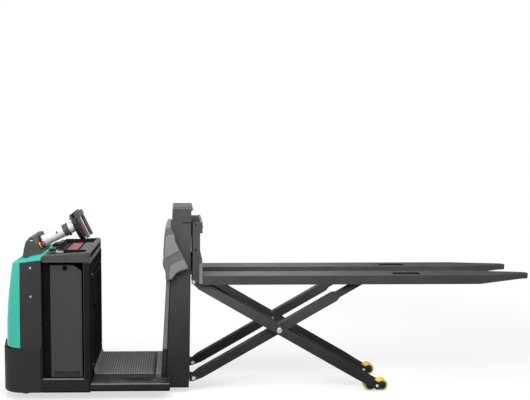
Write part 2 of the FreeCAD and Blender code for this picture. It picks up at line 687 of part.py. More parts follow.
def make_pivot_bracket():
    """Feet that carry the lift arms' lower pins behind the mast."""
    for side, sign in (("left", "-"), ("right", "+")):
        foot = new_body("pivot_foot_" + side)
        middle = "%s fork_side" % sign
        plate = "arm_width / 2 + foot_lug_gap + foot_lug"
        pad(foot, "XY",
            [("tower_back", "%s - %s" % (middle, plate)), ("tower_back + 4", "%s - %s" % (middle, plate)),
             ("tower_back + 4", "%s + %s" % (middle, plate)), ("tower_back", "%s + %s" % (middle, plate))],
            "64", offset="pivot_level - 32", both=False)
        for leg in ("-", "+"):
            pad(foot, "XZ",
                [("tower_back", "pivot_level - 24"), ("pivot + 8", "pivot_level - 20"),
                 ("pivot + 20", "pivot_level - 8"), ("pivot + 20", "pivot_level + 8"),
                 ("pivot + 8", "pivot_level + 20"), ("tower_back", "pivot_level + 24")],
                "foot_lug",
                offset="-(%s) %s (arm_width / 2 + foot_lug_gap + foot_lug / 2)" % (middle, leg))
        pad(foot, "XZ", (), "arm_width + 2 * foot_lug_gap + 2 * foot_lug", offset="-(%s)" % middle,
            circles=[("pivot", "pivot_level", "foot_pin")])
        node(foot, "pivot_foot_" + side)


def backrest_rear(level):
    """Place of the backrest panel's rear face at a height."""
    return "mast + backrest_foot + backrest_lean * (%s - trim_top - 2)" \
           " / (backrest_top - trim_top - 2)" % level


# Outline of the backrest's side wings: shares of the reach behind the mast's
# front line and of the height from the trim's top to the backrest's top
WING_FRONT = [(-0.045, 0.829), (-0.128, 0.269), (-0.09, 0.204), (0, 0.136)]
WING_REAR = [(0.026, 0), (0.25, -0.008), (0.455, 0.106), (0.635, 0.155), (1, 0.204), (0.974, 0.269),
             (0.635, 0.549), (0.423, 0.734), (0.397, 0.848), (0.218, 1)]


def wing_points(shares):
    return [("mast + %s * wing_reach" % along, "trim_top + %s * backrest_rise" % up)
            for along, up in shares]


def make_backrest():
    body = new_body("backrest")
    foot = "trim_top + 2"
    pad(body, "XZ",
        [("mast - trim_depth / 5", foot), (backrest_rear(foot), foot),
         (backrest_rear("backrest_top"), "backrest_top"), ("mast + 0.05 * wing_reach", "backrest_top")]
        + wing_points(WING_FRONT), "backrest_width")
    for sign in ("-", ""):
        pad(body, "XZ", wing_points(WING_FRONT + WING_REAR), "wing_thickness",
            offset=sign + "(backrest_width / 2 + wing_thickness / 2)")
    node(body, "backrest")
    low = "backrest_top - spacer_drop - spacer_height / 2"
    high = "backrest_top - spacer_drop + spacer_height / 2"
    side_profile("backrest_spacer",
                 [(backrest_rear(low), low), (tower_left(low), low),
                  (tower_left(high), high), (backrest_rear(high), high)], "spacer_width")
    side_profile("mast_front_panel",
                 [("mast - trim_depth - 4", "ledge_top"), (tower_left("ledge_top"), "ledge_top"),
                  (tower_left("trim_top"), "trim_top"),
                  (tower_left("trim_top") + " - trim_depth", "trim_top")], "tower_width")


# Scissor lift
def arm_outline():
    """Side outline of a lift arm, from its lower pin to its upper end."""
    half = "arm_depth / 2"
    end = "arm_end_depth / 2"
    step = "2 * half_arm - arm_end_length"
    reach = "2 * half_arm"
    return [("-lift_eye / 2", "-lift_eye"), ("eye_run", "-(%s)" % half), (step, "-(%s)" % half),
            ("%s + 30" % step, "-(%s)" % end), ("%s + %s / 2" % (reach, end), "-(%s)" % end),
            ("%s + %s" % (reach, end), "-(%s) / 2" % end), ("%s + %s" % (reach, end), "(%s) / 2" % end),
            ("%s + %s / 2" % (reach, end), end), ("%s + 30" % step, end), (step, half),
            ("eye_run", half), ("-lift_eye / 2", "lift_eye"), ("-lift_eye", "lift_eye / 2"),
            ("-lift_eye", "-lift_eye / 2")]


def make_lift_arms():
    for side, sign in (("left", "-"), ("right", "")):
        arm = new_body("lift_arm_" + side)
        pad(arm, "XZ", arm_outline(), "arm_width")
        pad(arm, "XZ", (), "track_width / 2",
            circles=[("2 * half_arm", "0", "track_roller_diameter")])
        pocket(arm, "XZ", circles=[("0", "0", "foot_pin + 2 * pin_fit"),
                                   ("half_arm", "0", "centre_pin + 2 * pin_fit")])
        place(arm, "pivot", sign + "fork_side", "pivot_level", (0, 1, 0), "-lift_angle")
        node(arm, "lift_arm_" + side)


def make_wheel_arms():
    outer = "plate_gap / 2 + plate_thickness"
    for side, sign in (("left", "-"), ("right", "")):
        arm = new_body("wheel_arm_" + side)
        half = "arm_depth / 2"
        end = "wheel_end_depth / 2"
        for leg in ("-", ""):
            pad(arm, "XZ",
                [("-half_arm - wheel_arm_eye / 2", "-wheel_arm_eye"),
                 ("-half_arm + eye_run", "-(%s)" % half),
                 ("wheel_reach - 160", "-(%s)" % half),
                 ("wheel_reach - 40", "-(%s)" % end), ("wheel_reach + %s / 2" % end, "-(%s)" % end),
                 ("wheel_reach + %s" % end, "-(%s) / 2" % end),
                 ("wheel_reach + %s" % end, "(%s) / 2" % end),
                 ("wheel_reach + %s / 2" % end, end), ("wheel_reach - 40", end),
                 ("wheel_reach - 160", half),
                 ("-half_arm + eye_run", half), ("-half_arm - wheel_arm_eye / 2", "wheel_arm_eye"),
                 ("-half_arm - wheel_arm_eye", "wheel_arm_eye / 2"),
                 ("-half_arm - wheel_arm_eye", "-wheel_arm_eye / 2")],
                "plate_thickness", offset=leg + "(plate_gap / 2 + plate_thickness / 2)")
        pad(arm, "XZ", (), "plate_gap + 2 * plate_thickness", circles=[("0", "0", "centre_pin")])
        for leg in ("-", ""):
            stub = "(plate_gap / 2 - bogie_gap - load_roller_width / 2)"
            pad(arm, "XZ", (), "lug_thickness + 6",
                offset=leg + "(%s + lug_thickness / 2 + 3)" % outer,
                circles=[("-half_arm", "0", "heel_pin")])
            pad(arm, "XZ", (), stub, offset=leg + "(plate_gap / 2 - %s / 2)" % stub,
                circles=[("wheel_reach", "0", "wheel_pin")])
        place(arm, "centre_along", sign + "fork_side", "centre_up", (0, 1, 0), "lift_angle")
        node(arm, "wheel_arm_" + side)


def make_bogies():
    for side, sign in (("left", "-"), ("right", "")):
        bogie = new_body("bogie_" + side)
        reach = "load_roller_spacing / 2"
        for leg in ("-", ""):
            pad(bogie, "XZ",
                [("-(%s) - 16" % reach, "-axle_drop - 14"), ("%s + 16" % reach, "-axle_drop - 14"),
                 ("%s + 16" % reach, "-axle_drop + 12"), ("14", "20"), ("-14", "20"),
                 ("-(%s) - 16" % reach, "-axle_drop + 12")],
                "bogie_plate",
                offset=leg + "(load_roller_width / 2 + bogie_gap + bogie_plate / 2)")
        for end in ("-", ""):
            pad(bogie, "XZ", (), "load_roller_width + 2 * bogie_gap + 2 * bogie_plate",
                circles=[("%s%s" % (end, reach), "-axle_drop", "load_axle")])
        pocket(bogie, "XZ", circles=[("0", "0", "wheel_pin + 2 * pin_fit")])
        place(bogie, "wheel_along", sign + "fork_side", "wheel_up")
        node(bogie, "bogie_" + side)
        for label, end in (("front", "-"), ("rear", "")):
            wheel("load_roller_%s_%s" % (label, side), "load_roller_diameter", "load_roller_width",
                  "load_axle + 2 * pin_fit", "wheel_along %s %s" % (end or "+", reach),
                  sign + "fork_side", "wheel_up - axle_drop")


# Carriage and forks
def make_forks():
    for side, sign in (("left", "-"), ("right", "")):
        fork = new_body("fork_" + side)
        half = "fork_width / 2"
        taper = "tip - fork_taper"
        pad(fork, "XY",
            [("face", "-(%s)" % half), (taper, "-(%s)" % half),
             ("tip - tip_corner", "-(%s - tip_narrowing)" % half),
             ("tip", "-(%s - tip_narrowing - tip_corner)" % half),
             ("tip", "%s - tip_narrowing - tip_corner" % half),
             ("tip - tip_corner", "%s - tip_narrowing" % half),
             (taper, half), ("face", half)],
            "fork_depth", offset="-fork_depth", both=False)
        pocket(fork, "XZ",
               [(taper, "-fork_depth - 1"), ("tip + 1", "-fork_depth - 1"),
                ("tip + 1", "-fork_tip_height"), ("tip - tip_flat", "-fork_tip_height"),
                (taper, "-fork_depth")])
        pocket(fork, "XY",
               [("face - 1", "fork_plate - %s" % half), (taper, "fork_plate - %s" % half),
                ("tip - tip_solid_length", "-(%s - tip_narrowing)" % half + " + fork_plate"),
                ("tip - tip_solid_length", "%s - tip_narrowing - fork_plate" % half),
                (taper, "%s - fork_plate" % half), ("face - 1", "%s - fork_plate" % half)],
               offset="-fork_plate", both=False)
        pocket(fork, "XY",
               [("face + slot_start", "-slot_width / 2"), ("face + slot_start + slot_length", "-slot_width / 2"),
                ("face + slot_start + slot_length", "slot_width / 2"), ("face + slot_start", "slot_width / 2")])
        pad(fork, "XZ",
            [("face + track_start", "-fork_plate - track_thickness"),
             ("face + track_start + track_length", "-fork_plate - track_thickness"),
             ("face + track_start + track_length", "-fork_plate"),
             ("face + track_start", "-fork_plate")], "track_width")
        pad(fork, "XZ",
            [("face - heel_plate", "-heel_drop"), ("face", "-heel_drop"), ("face", "heel_height"),
             ("face - heel_plate", "heel_height")], "fork_width")
        pocket(fork, "XY",
               [("face - heel_plate - 1", "-heel_slot / 2"), ("face + 1", "-heel_slot / 2"),
                ("face + 1", "heel_slot / 2"), ("face - heel_plate - 1", "heel_slot / 2")],
               offset="-fork_plate", both=False)
        place(fork, "0", sign + "fork_side", "fork_top")
        node(fork, "fork_" + side)


def make_carriage():
    frame = new_body("carriage")
    cross = "carriage_face + tower_rear_lean / 2"
    pad(frame, "YZ",
        [("-carriage_side_y", "carriage_bottom"), ("carriage_side_y", "carriage_bottom"),
         ("carriage_side_y", "carriage_top"), ("-carriage_side_y", "carriage_top")],
        "carriage_cross", offset="%s + carriage_cross / 2" % cross)
    for sign in ("-", "+"):
        pad(frame, "XZ",
            [("carriage_face", "carriage_bottom"), ("face - heel_plate", "carriage_bottom"),
             ("face - heel_plate", "fork_top + heel_height + 19"),
             ("face - 2", "fork_top + heel_height + 19"), ("face - 18", "fork_top + heel_height + 91"),
             ("face - 18", "carriage_top"), ("carriage_face", "carriage_top")],
            "carriage_side", offset="%s (carriage_side_y - carriage_side / 2)" % sign)
        for leg in ("-", "+"):
            pad(frame, "XZ",
                [("pivot - 14", "lift - 15"), ("pivot + 18", "lift - 15"),
                 ("face - heel_plate", "lift + 4"), ("face - heel_plate", "carriage_bottom + 1"),
                 ("pivot - 7", "carriage_bottom + 1"), ("pivot - 14", "lift + 14")],
                "lug_thickness",
                offset="%s fork_side %s (plate_gap / 2 + plate_thickness + 5 + lug_thickness / 2)"
                       % (sign, leg))
        for low in ("carriage_bottom + 24", "carriage_top - guide_height - 24"):
            pad(frame, "XZ",
                [("tower_back - sheet - rail_depth + rail_wall + guide_clearance", low), (cross, low),
                 (cross, "%s + guide_height" % low),
                 ("tower_back - sheet - rail_depth + rail_wall + guide_clearance",
                  "%s + guide_height" % low)],
                "guide_width", offset="%s rail_side" % sign)
    pad(frame, "XZ",
        [("face - 18", "carriage_top - top_bar_height + 4"), ("face - 1", "carriage_top - top_bar_height + 4"),
         ("face - 1", "carriage_top + 4"), ("face - 18", "carriage_top + 4")],
        "2 * carriage_side_y")
    pocket(frame, "XZ", circles=[("pivot", "lift", "heel_pin + 2 * pin_fit")])
    node(frame, "carriage")


def build():
    make_bumper()
    make_cover()
    make_housing()
    make_chassis_frame()
    make_rear_wall()
    make_battery()
    make_drive()
    make_castors()
    make_console()
    make_hump()
    make_steering()
    make_controls()
    make_platform()
    make_mast()
    make_pivot_bracket()
    make_backrest()
    make_lift_arms()
    make_wheel_arms()
    make_bogies()
    make_forks()
    make_carriage()


def check_and_write():
    doc.recompute()
    for item in doc.Objects:
        if "Invalid" in item.State or "Error" in item.State:
            raise ValueError("failed object: " + item.Name)
    os.makedirs("parts", exist_ok=True)
    for name, item in NODES.items():
        shape = item.Shape
        if shape.isNull() or not shape.isValid():
            raise ValueError("bad shape: " + name)
        shape.exportStep("parts/" + name + ".step")
        print(name, len(shape.Solids), round(shape.Volume / 1e6, 3))


build()
check_and_write()
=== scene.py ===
"""Looks of an order picker truck with raised scissor forks, laid out as an add-on.

Metres, +Z up, +X towards the fork tips, floor at Z = 0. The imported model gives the
solids, and each operator finishes one group of its pieces.
"""

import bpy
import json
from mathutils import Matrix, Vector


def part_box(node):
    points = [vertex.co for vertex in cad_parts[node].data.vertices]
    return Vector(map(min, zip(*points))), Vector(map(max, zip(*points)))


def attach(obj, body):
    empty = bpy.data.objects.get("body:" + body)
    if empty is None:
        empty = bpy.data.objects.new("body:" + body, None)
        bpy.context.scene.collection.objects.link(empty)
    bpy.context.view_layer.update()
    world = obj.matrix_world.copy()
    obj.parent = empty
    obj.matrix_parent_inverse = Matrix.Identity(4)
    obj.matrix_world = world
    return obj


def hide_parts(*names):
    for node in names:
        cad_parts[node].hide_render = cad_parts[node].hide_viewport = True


bl_info = {
    "name": "Order Picker Truck Looks",
    "version": (1, 0, 0),
    "blender": (4, 5, 0),
    "location": "3D View > Sidebar > Order Picker",
    "description": "Finishes the pieces of an order picker truck and sets its stage",
    "category": "Object",
}

import json
import math

import bmesh
import bpy
from mathutils import Vector

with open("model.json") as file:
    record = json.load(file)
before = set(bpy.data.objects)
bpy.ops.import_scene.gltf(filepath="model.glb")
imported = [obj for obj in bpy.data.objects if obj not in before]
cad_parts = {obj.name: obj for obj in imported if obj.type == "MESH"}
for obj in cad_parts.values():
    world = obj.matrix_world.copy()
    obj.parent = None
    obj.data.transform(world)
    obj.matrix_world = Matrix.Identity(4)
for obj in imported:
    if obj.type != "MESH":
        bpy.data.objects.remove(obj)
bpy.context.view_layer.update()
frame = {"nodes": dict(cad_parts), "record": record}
NODES = frame["nodes"]
NODE_BODY = {node: body for body, members in frame["record"]["behaviour"]["bodies"].items()
             for node in members}
NODE_SLOT = {item["node"]: item["material_slot"] for item in frame["record"]["subparts"]}


def tone(red, green, blue):
    """Linear colour of a screen colour given as bytes."""
    def straight(byte):
        share = byte / 255
        return share / 12.92 if share <= 0.04045 else ((share + 0.055) / 1.055) ** 2.4
    return (straight(red), straight(green), straight(blue))


# Sizes and colours that a user would change
def colour_prop(name, red, green, blue, words):
    return bpy.props.FloatVectorProperty(
        name=name, description=words, subtype="COLOR", size=3, min=0, max=1,
        default=tone(red, green, blue))


def length_prop(name, value, words):
    return bpy.props.FloatProperty(
        name=name, description=words, subtype="DISTANCE", unit="LENGTH", min=0, default=value)


class TruckColours(bpy.types.PropertyGroup):
    """Colours of the truck's finishes."""
    cover: colour_prop("Cover", 64, 209, 188, "Glossy paint of the front cover")
    moulding: colour_prop("Dark moulding", 53, 54, 53, "Grained plastic of the bumper and skirts")
    housing: colour_prop("Housing", 60, 59, 60, "Satin paint of the housing and panels")
    panel: colour_prop("Battery panel", 73, 72, 71, "Paint of the battery side panels")
    mast: colour_prop("Mast", 84, 85, 85, "Satin paint of the mast")
    console: colour_prop("Console", 73, 73, 73, "Grained plastic of the dash and its hump")
    rest: colour_prop("Backrest", 140, 140, 140, "Moulded skin of the backrest")
    column: colour_prop("Column", 228, 225, 227, "Glossy casing of the steering column")
    rubber: colour_prop("Mat", 104, 104, 103, "Ribbed rubber of the platform mat")
    # At half, this black is painted shade in gaps, recesses, holes and under the skirts.
    black: colour_prop("Black plastic", 26, 26, 26, "Seals, knobs and grips")
    grip: colour_prop("Steering head", 84, 84, 84, "Moulded steering head")
    red: colour_prop("Red", 176, 40, 44, "Stop button and switches")
    fork: colour_prop("Forks", 80, 80, 79, "Satin paint of the forks and the carriage")
    steel: colour_prop("Steel", 196, 196, 194, "Bare pins and screws")
    roller: colour_prop("Roller", 246, 214, 92, "Cast tyre of the rollers and castors")
    tyre: colour_prop("Drive tyre", 40, 38, 37, "Tyre of the drive wheel")
    # The trim colour also paints highlights along the sill, ledge and mat edges.
    trim: colour_prop("Trim", 126, 126, 125, "Light strips along the sills")
    silver: colour_prop("Silver", 170, 171, 170, "Frame of the display")


class TruckSizes(bpy.types.PropertyGroup):
    """Sizes of the added detail."""
    soft_edge: length_prop("Soft edge", 0.0018, "Rounding of plate and casting edges")
    sheet_edge: length_prop("Sheet edge", 0.0035, "Rounding of bent sheets")
    casing_edge: length_prop("Casing edge", 0.004, "Rounding of the steering's casings")
    moulded_edge: length_prop("Moulded edge", 0.005, "Rounding of moulded covers")
    cover_edge: length_prop("Cover edge", 0.009, "Rounding of the front cover")
    rib_pitch: length_prop("Rib pitch", 0.0175, "Distance between two ribs of the mat")
    nose_lean: length_prop("Nose lean", 0.046, "How far the cover's nose draws back at its top")
    mast_reach: length_prop("Mast reach", 0.010, "How far the mast's front is drawn out")


def colours():
    return bpy.context.scene.truck_colours


def sizes():
    return bpy.context.scene.truck_sizes


# Shader effects used by more than one material
def new_group(name, inputs, outputs):
    """Empty node group with named number inputs and outputs, and its two end nodes."""
    group = bpy.data.node_groups.new(name, "ShaderNodeTree")
    for label, value in inputs:
        socket = group.interface.new_socket(label, in_out="INPUT", socket_type="NodeSocketFloat")
        socket.default_value = value
    for label in outputs:
        group.interface.new_socket(label, in_out="OUTPUT", socket_type="NodeSocketFloat")
    return group, group.nodes.new("NodeGroupInput"), group.nodes.new("NodeGroupOutput")


def feed(tree, node, inputs):
    """Link or set a node's inputs."""
    for label, value in inputs.items():
        if isinstance(value, bpy.types.NodeSocket):
            tree.links.new(value, node.inputs[label])
        else:
            node.inputs[label].default_value = value


def wired(tree, kind, inputs=None, output=0, **settings):
    """Add a shader node with its settings and inputs, and give one of its outputs."""
    node = tree.nodes.new("ShaderNode" + kind)
    for name, value in settings.items():
        setattr(node, name, value)
    feed(tree, node, inputs or {})
    return node.outputs[output]


def math_node(tree, operation, first, second):
    return wired(tree, "Math", {0: first, 1: second}, operation=operation)


def remap(tree, value, low, high, to_low, to_high):
    return wired(tree, "MapRange", {"Value": value, "From Min": low, "From Max": high,
                                    "To Min": to_low, "To Max": to_high},
                 interpolation_type="SMOOTHSTEP")


def noise(tree, scale, detail=3.0):
    """Noise of a scale, fixed to the object."""
    place = wired(tree, "TexCoord", output="Object")
    return wired(tree, "TexNoise", {"Vector": place, "Scale": scale, "Detail": detail}, "Fac")


def grain_group():
    """Fine surface grain with broad, faint variation."""
    group, start, end = new_group("Fine Grain", [("Scale", 900.0)], ["Height", "Variation"])
    feed(group, end, {"Height": noise(group, start.outputs["Scale"]),
                      "Variation": remap(group, noise(group, 3.5, 5.0), 0.3, 0.7, 0.0, 1.0)})
    return group


def edge_highlight_group():
    """Mask of painted highlight on outer edges, broken up by a fine noise."""
    group, start, end = new_group("Worn Edges", [("Radius", 0.003)], ["Edge"])
    rounded = wired(group, "Bevel", {"Radius": start.outputs["Radius"]}, samples=4)
    normal = wired(group, "NewGeometry", output="Normal")
    match = wired(group, "VectorMath", {0: rounded, 1: normal}, "Value", operation="DOT_PRODUCT")
    bent = remap(group, match, 0.75, 0.995, 1.0, 0.0)
    broken = remap(group, noise(group, 45.0, 4.0), 0.3, 0.62, 0.35, 1.0)
    feed(group, end, {"Edge": math_node(group, "MULTIPLY", bent, broken)})
    return group


def dust_group():
    """Faint dust in spots on faces that look up."""
    group, start, end = new_group("Settled Dust", [("Amount", 0.3)], ["Dust"])
    normal = wired(group, "NewGeometry", output="Normal")
    up = remap(group, wired(group, "SeparateXYZ", {0: normal}, "Z"), 0.3, 0.95, 0.0, 1.0)
    spots = remap(group, noise(group, 14.0, 6.0), 0.42, 0.72, 0.0, 1.0)
    settled = math_node(group, "MULTIPLY", up, spots)
    feed(group, end, {"Dust": math_node(group, "MULTIPLY", settled, start.outputs["Amount"])})
    return group


def floor_shade_group():
    """Mask of painted shade that is strongest at the floor and thins out with height, with soft
    drifts.
    """
    group, start, end = new_group("Road Grime", [("Top", 1.0)], ["Grime"])
    place = wired(group, "TexCoord", output="Object")
    height = wired(group, "SeparateXYZ", {0: place}, "Z")
    share = math_node(group, "DIVIDE", height, start.outputs["Top"])
    drift = remap(group, noise(group, 2.2, 4.0), 0.3, 0.7, -0.06, 0.06)
    fade = remap(group, math_node(group, "ADD", share, drift), 0.0, 1.0, 1.0, 0.0)
    feed(group, end, {"Grime": fade})
    return group


EFFECTS = {"Fine Grain": grain_group, "Worn Edges": edge_highlight_group, "Settled Dust": dust_group,
           "Road Grime": floor_shade_group}


def effect(tree, name, **values):
    """Place one of the shared effects in a material with its own values."""
    node = tree.nodes.new("ShaderNodeGroup")
    node.node_tree = bpy.data.node_groups.get(name) or EFFECTS[name]()
    feed(tree, node, values)
    return node


def blended(tree, base, other, mask):
    """Colour that goes from base to other by a mask; each is a colour or a socket."""
    first, second, result = 6, 7, 2  # the mix node's colour sockets
    base, other = [value if isinstance(value, bpy.types.NodeSocket) else (*value, 1)
                   for value in (base, other)]
    return wired(tree, "Mix", {"Factor": mask, first: base, second: other}, result,
                 data_type="RGBA")


def scaled(colour, share):
    return tuple(min(1.0, part * share) for part in colour)


def surface(name, colour, rough, grain, bump, edge, edge_radius, dust, metal=0.0, coat=0.0,
            specular=0.25, drift=0.12, grime=0.0, reach=1.3):
    """Material of one finish: colour drift, painted shade towards the floor, painted edge
    highlight, settled dust and fine grain.
    """
    material = bpy.data.materials.new(name)
    material.use_nodes = True
    tree = material.node_tree
    shader = tree.nodes["Principled BSDF"]
    fine = effect(tree, "Fine Grain", Scale=grain)
    edge_highlight_node = effect(tree, "Worn Edges", Radius=edge_radius)
    settled = effect(tree, "Settled Dust", Amount=dust)
    base = blended(tree, scaled(colour, 1 - drift), scaled(colour, 1 + drift),
                   fine.outputs["Variation"])
    # Painted shade: towards the floor the colour is blended down to three tenths of itself.
    if grime:
        floor_shade_node = effect(tree, "Road Grime", Top=reach)
        base = blended(tree, base, scaled(colour, 0.3),
                       math_node(tree, "MULTIPLY", floor_shade_node.outputs["Grime"], grime))
    # Painted highlight: on the edges the colour is lightened to nearly twice itself.
    lit = blended(tree, base, scaled([part + 0.03 for part in colour], 1.9),
                  math_node(tree, "MULTIPLY", edge_highlight_node.outputs["Edge"], edge))
    dusty = blended(tree, lit, (0.30, 0.29, 0.27), settled.outputs["Dust"])
    polish = remap(tree, fine.outputs["Variation"], 0.0, 1.0, *rough)
    dulled = math_node(tree, "MULTIPLY", settled.outputs["Dust"], 0.4)
    relief = wired(tree, "Bump", {"Strength": bump, "Distance": 0.0006,
                                  "Height": fine.outputs["Height"]})
    feed(tree, shader, {"Base Color": dusty, "Roughness": math_node(tree, "ADD", polish, dulled),
                        "Normal": relief, "Metallic": metal, "Specular IOR Level": specular,
                        "Coat Weight": coat, "Coat Roughness": 0.08})
    return material


# Finish: slot, colour, share of that colour, roughness from and to, grain scale, grain height,
# painted edge highlight, its radius, dust, and what else surface() takes. A slot's first row is its
# main one.
FINISHES = {
    "cover_paint": ("teal_paint", "cover", 1, (0.26, 0.34), 500, 0.05, 0.15, 0.006, 0.05,
                    {"coat": 0.2, "specular": 0.3, "drift": 0.03}),
    "grained_moulding": ("dark_moulding", "moulding", 1, (0.5, 0.62), 1500, 0.35, 0.25, 0.004, 0.1,
                         {"specular": 0.2, "grime": 0.3}),
    "housing_paint": ("dark_paint", "housing", 1, (0.42, 0.52), 700, 0.18, 0.5, 0.004, 0.15,
                      {"grime": 0.4}),
    "mast_satin": ("mast_paint", "mast", 1, (0.42, 0.54), 650, 0.18, 0.5, 0.003, 0.15,
                   {"specular": 0.12, "grime": 1}),
    "console_moulding": ("grey_moulding", "console", 1, (0.5, 0.62), 1600, 0.4, 0.3, 0.005, 0.1),
    "backrest_skin": ("light_moulding", "rest", 1, (0.48, 0.58), 1200, 0.3, 0.2, 0.006, 0.05,
                      {"drift": 0.05}),
    "column_casing": ("white_moulding", "column", 1, (0.28, 0.36), 500, 0.05, 0.05, 0.003, 0.02,
                      {"coat": 0.3, "specular": 0.5, "drift": 0.02}),
    "black_moulding": ("black_plastic", "black", 1, (0.45, 0.58), 1400, 0.3, 0.3, 0.003, 0.15,
                       {"specular": 0.12}),
    "red_moulding": ("red_plastic", "red", 1, (0.25, 0.35), 600, 0.05, 0.2, 0.002, 0,
                     {"coat": 0.3}),
    "ribbed_rubber": ("mat_rubber", "rubber", 1, (0.62, 0.8), 1100, 0.5, 0.4, 0.002, 0.25),
    "fork_satin": ("fork_paint", "fork", 1, (0.42, 0.56), 600, 0.22, 0.5, 0.003, 0.12,
                   {"specular": 0.14, "grime": 0.55}),
    "pin_steel": ("bare_steel", "steel", 1, (0.28, 0.42), 1200, 0.1, 0.1, 0.003, 0.15,
                  {"metal": 0.9}),
    "grained_casting": ("cast_grey", "panel", 1, (0.5, 0.62), 420, 0.5, 0.3, 0.003, 0.15),
    "tyre_rubber": ("drive_tyre", "tyre", 1, (0.6, 0.75), 800, 0.4, 0.3, 0.003, 0.15),
    "roller_cast": ("roller_tyre", "roller", 1, (0.32, 0.45), 500, 0.12, 0.1, 0.003, 0.12,
                    {"drift": 0.05}),
    # Darker copy of the backrest skin: painted shade on the shell between the pads.
    "backrest_shell": ("light_moulding", "rest", 0.62, (0.5, 0.6), 1200, 0.3, 0.25, 0.006, 0.05,
                       {"drift": 0.05}),
    "grip_moulding": ("black_plastic", "grip", 1, (0.5, 0.62), 1500, 0.4, 0.3, 0.002, 0.05),
    # Light grey for the mast's front strip, and painted highlights along the sill, ledge and mat
    # edges.
    "trim_grey": ("dark_paint", "trim", 1, (0.35, 0.45), 900, 0.12, 0.3, 0.002, 0.15),
    "silver_plastic": ("grey_moulding", "silver", 1, (0.3, 0.4), 900, 0.1, 0.1, 0.002, 0.03),
    "battery_sheet": ("dark_paint", "panel", 1, (0.46, 0.56), 700, 0.18, 0.4, 0.004, 0.1,
                      {"specular": 0.2, "drift": 0.05}),
    # Dark copy of the housing paint: painted shade on the operator's side of the rear wall.
    "operator_side": ("dark_paint", "housing", 0.45, (0.5, 0.62), 700, 0.2, 0.8, 0.004, 0.1,
                      {"specular": 0}),
    # Black at half: painted shade in gaps, recesses, holes and under the skirts.
    "recess_black": ("black_plastic", "black", 0.5, (0.6, 0.7), 900, 0.2, 0.1, 0.002, 0.05,
                     {"specular": 0.08}),
    # Dark copy of the mat rubber: painted shade between the ribs.
    "mat_groove": ("mat_rubber", "rubber", 0.45, (0.7, 0.85), 1100, 0.5, 0.1, 0.003, 0.15),
    "frame_paint": ("dark_paint", "housing", 0.5, (0.5, 0.6), 700, 0.2, 0.35, 0.003, 0.15,
                    {"specular": 0.15}),
    "mast_cap_paint": ("mast_paint", "mast", 0.36, (0.46, 0.56), 650, 0.18, 0.4, 0.002, 0.05,
                       {"specular": 0.12}),
    "ground_plate": ("fork_paint", "trim", 1.1, (0.4, 0.55), 700, 0.2, 0.2, 0.003, 0.15),
    "dark_steel": ("bare_steel", "steel", 0.16, (0.35, 0.48), 900, 0.15, 0.35, 0.002, 0.1,
                   {"metal": 0.7}),
    "arm_satin": ("fork_paint", "fork", 1.45, (0.45, 0.58), 600, 0.22, 0.4, 0.003, 0.1,
                  {"specular": 0.07, "grime": 1.2, "reach": 0.9}),
}
MAIN_FINISH = {row[0]: name for name, row in reversed(FINISHES.items())}


def finish_of(name):
    """The material of a finish, made once."""
    _, colour, share, *treatment = FINISHES[name]
    more = treatment.pop() if isinstance(treatment[-1], dict) else {}
    return bpy.data.materials.get(name) or surface(
        name, scaled(getattr(colours(), colour), share), *treatment, **more)


# Modelling helpers
def only(piece):
    """Make one object the only selected and the active one."""
    if bpy.context.mode != "OBJECT":
        bpy.ops.object.mode_set(mode="OBJECT")
    bpy.ops.object.select_all(action="DESELECT")
    piece.select_set(True)
    bpy.context.view_layer.objects.active = piece


def smoothed(piece):
    only(piece)
    bpy.ops.object.shade_smooth_by_angle(angle=math.radians(35))


def softened(piece, width, segments):
    """Round the sharp edges of a finished shape and even out its shading."""
    only(piece)
    bevel = piece.modifiers.new("Rounding", "BEVEL")
    bevel.width = width
    bevel.segments = segments
    bevel.limit_method = "ANGLE"
    bevel.angle_limit = math.radians(28)
    bpy.ops.object.modifier_apply(modifier=bevel.name)
    smoothed(piece)
    even = piece.modifiers.new("Even shading", "WEIGHTED_NORMAL")
    even.keep_sharp = True
    bpy.ops.object.modifier_apply(modifier=even.name)


def add_piece(piece, name, body, finish, replaces):
    """Name a new piece, give it its finish and let it ride on its body."""
    piece.name = piece.data.name = name
    piece.data.materials.clear()
    piece.data.materials.append(finish_of(finish))
    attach(piece, body)
    for node in replaces:
        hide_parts(node)
    return piece


def node_copy(node):
    """Copy of a node's mesh with its corners merged and its flat faces whole."""
    piece = bpy.data.objects.new(node + "_copy", NODES[node].data.copy())
    bpy.context.scene.collection.objects.link(piece)
    only(piece)
    bpy.ops.object.mode_set(mode="EDIT")
    bpy.ops.mesh.select_all(action="SELECT")
    bpy.ops.mesh.remove_doubles(threshold=0.00002)
    bpy.ops.mesh.dissolve_limited(angle_limit=math.radians(0.6))
    bpy.ops.object.mode_set(mode="OBJECT")
    return piece


def stand_in(piece, node, finish=None):
    """Let a finished copy take its node's place."""
    slot = NODE_SLOT[node]
    return add_piece(piece, node + "_finished", NODE_BODY[node], finish or MAIN_FINISH[slot],
                     [node])


def dress(node, width=None, segments=2, finish=None):
    """Stand a softened copy in for a node."""
    piece = node_copy(node)
    softened(piece, sizes().soft_edge if width is None else width, segments)
    return stand_in(piece, node, finish)


class PieceOperator:
    """What every finishing operator shares."""
    bl_options = {"REGISTER", "UNDO"}

    def execute(self, context):
        self.make()
        return {"FINISHED"}


# New pieces; their sizes and places are in millimetres
def placed(point):
    return Vector(point) * 0.001


def outline(points, closed):
    """Ring of corners at given places, left in edit mode with everything selected."""
    bpy.ops.object.select_all(action="DESELECT")
    bpy.ops.mesh.primitive_circle_add(vertices=len(points),
                                      fill_type="NGON" if closed else "NOTHING")
    piece = bpy.context.active_object
    for vertex, point in zip(piece.data.vertices, points):
        vertex.co = placed(point)
    bpy.ops.object.mode_set(mode="EDIT")
    bpy.ops.mesh.select_all(action="SELECT")
    return piece


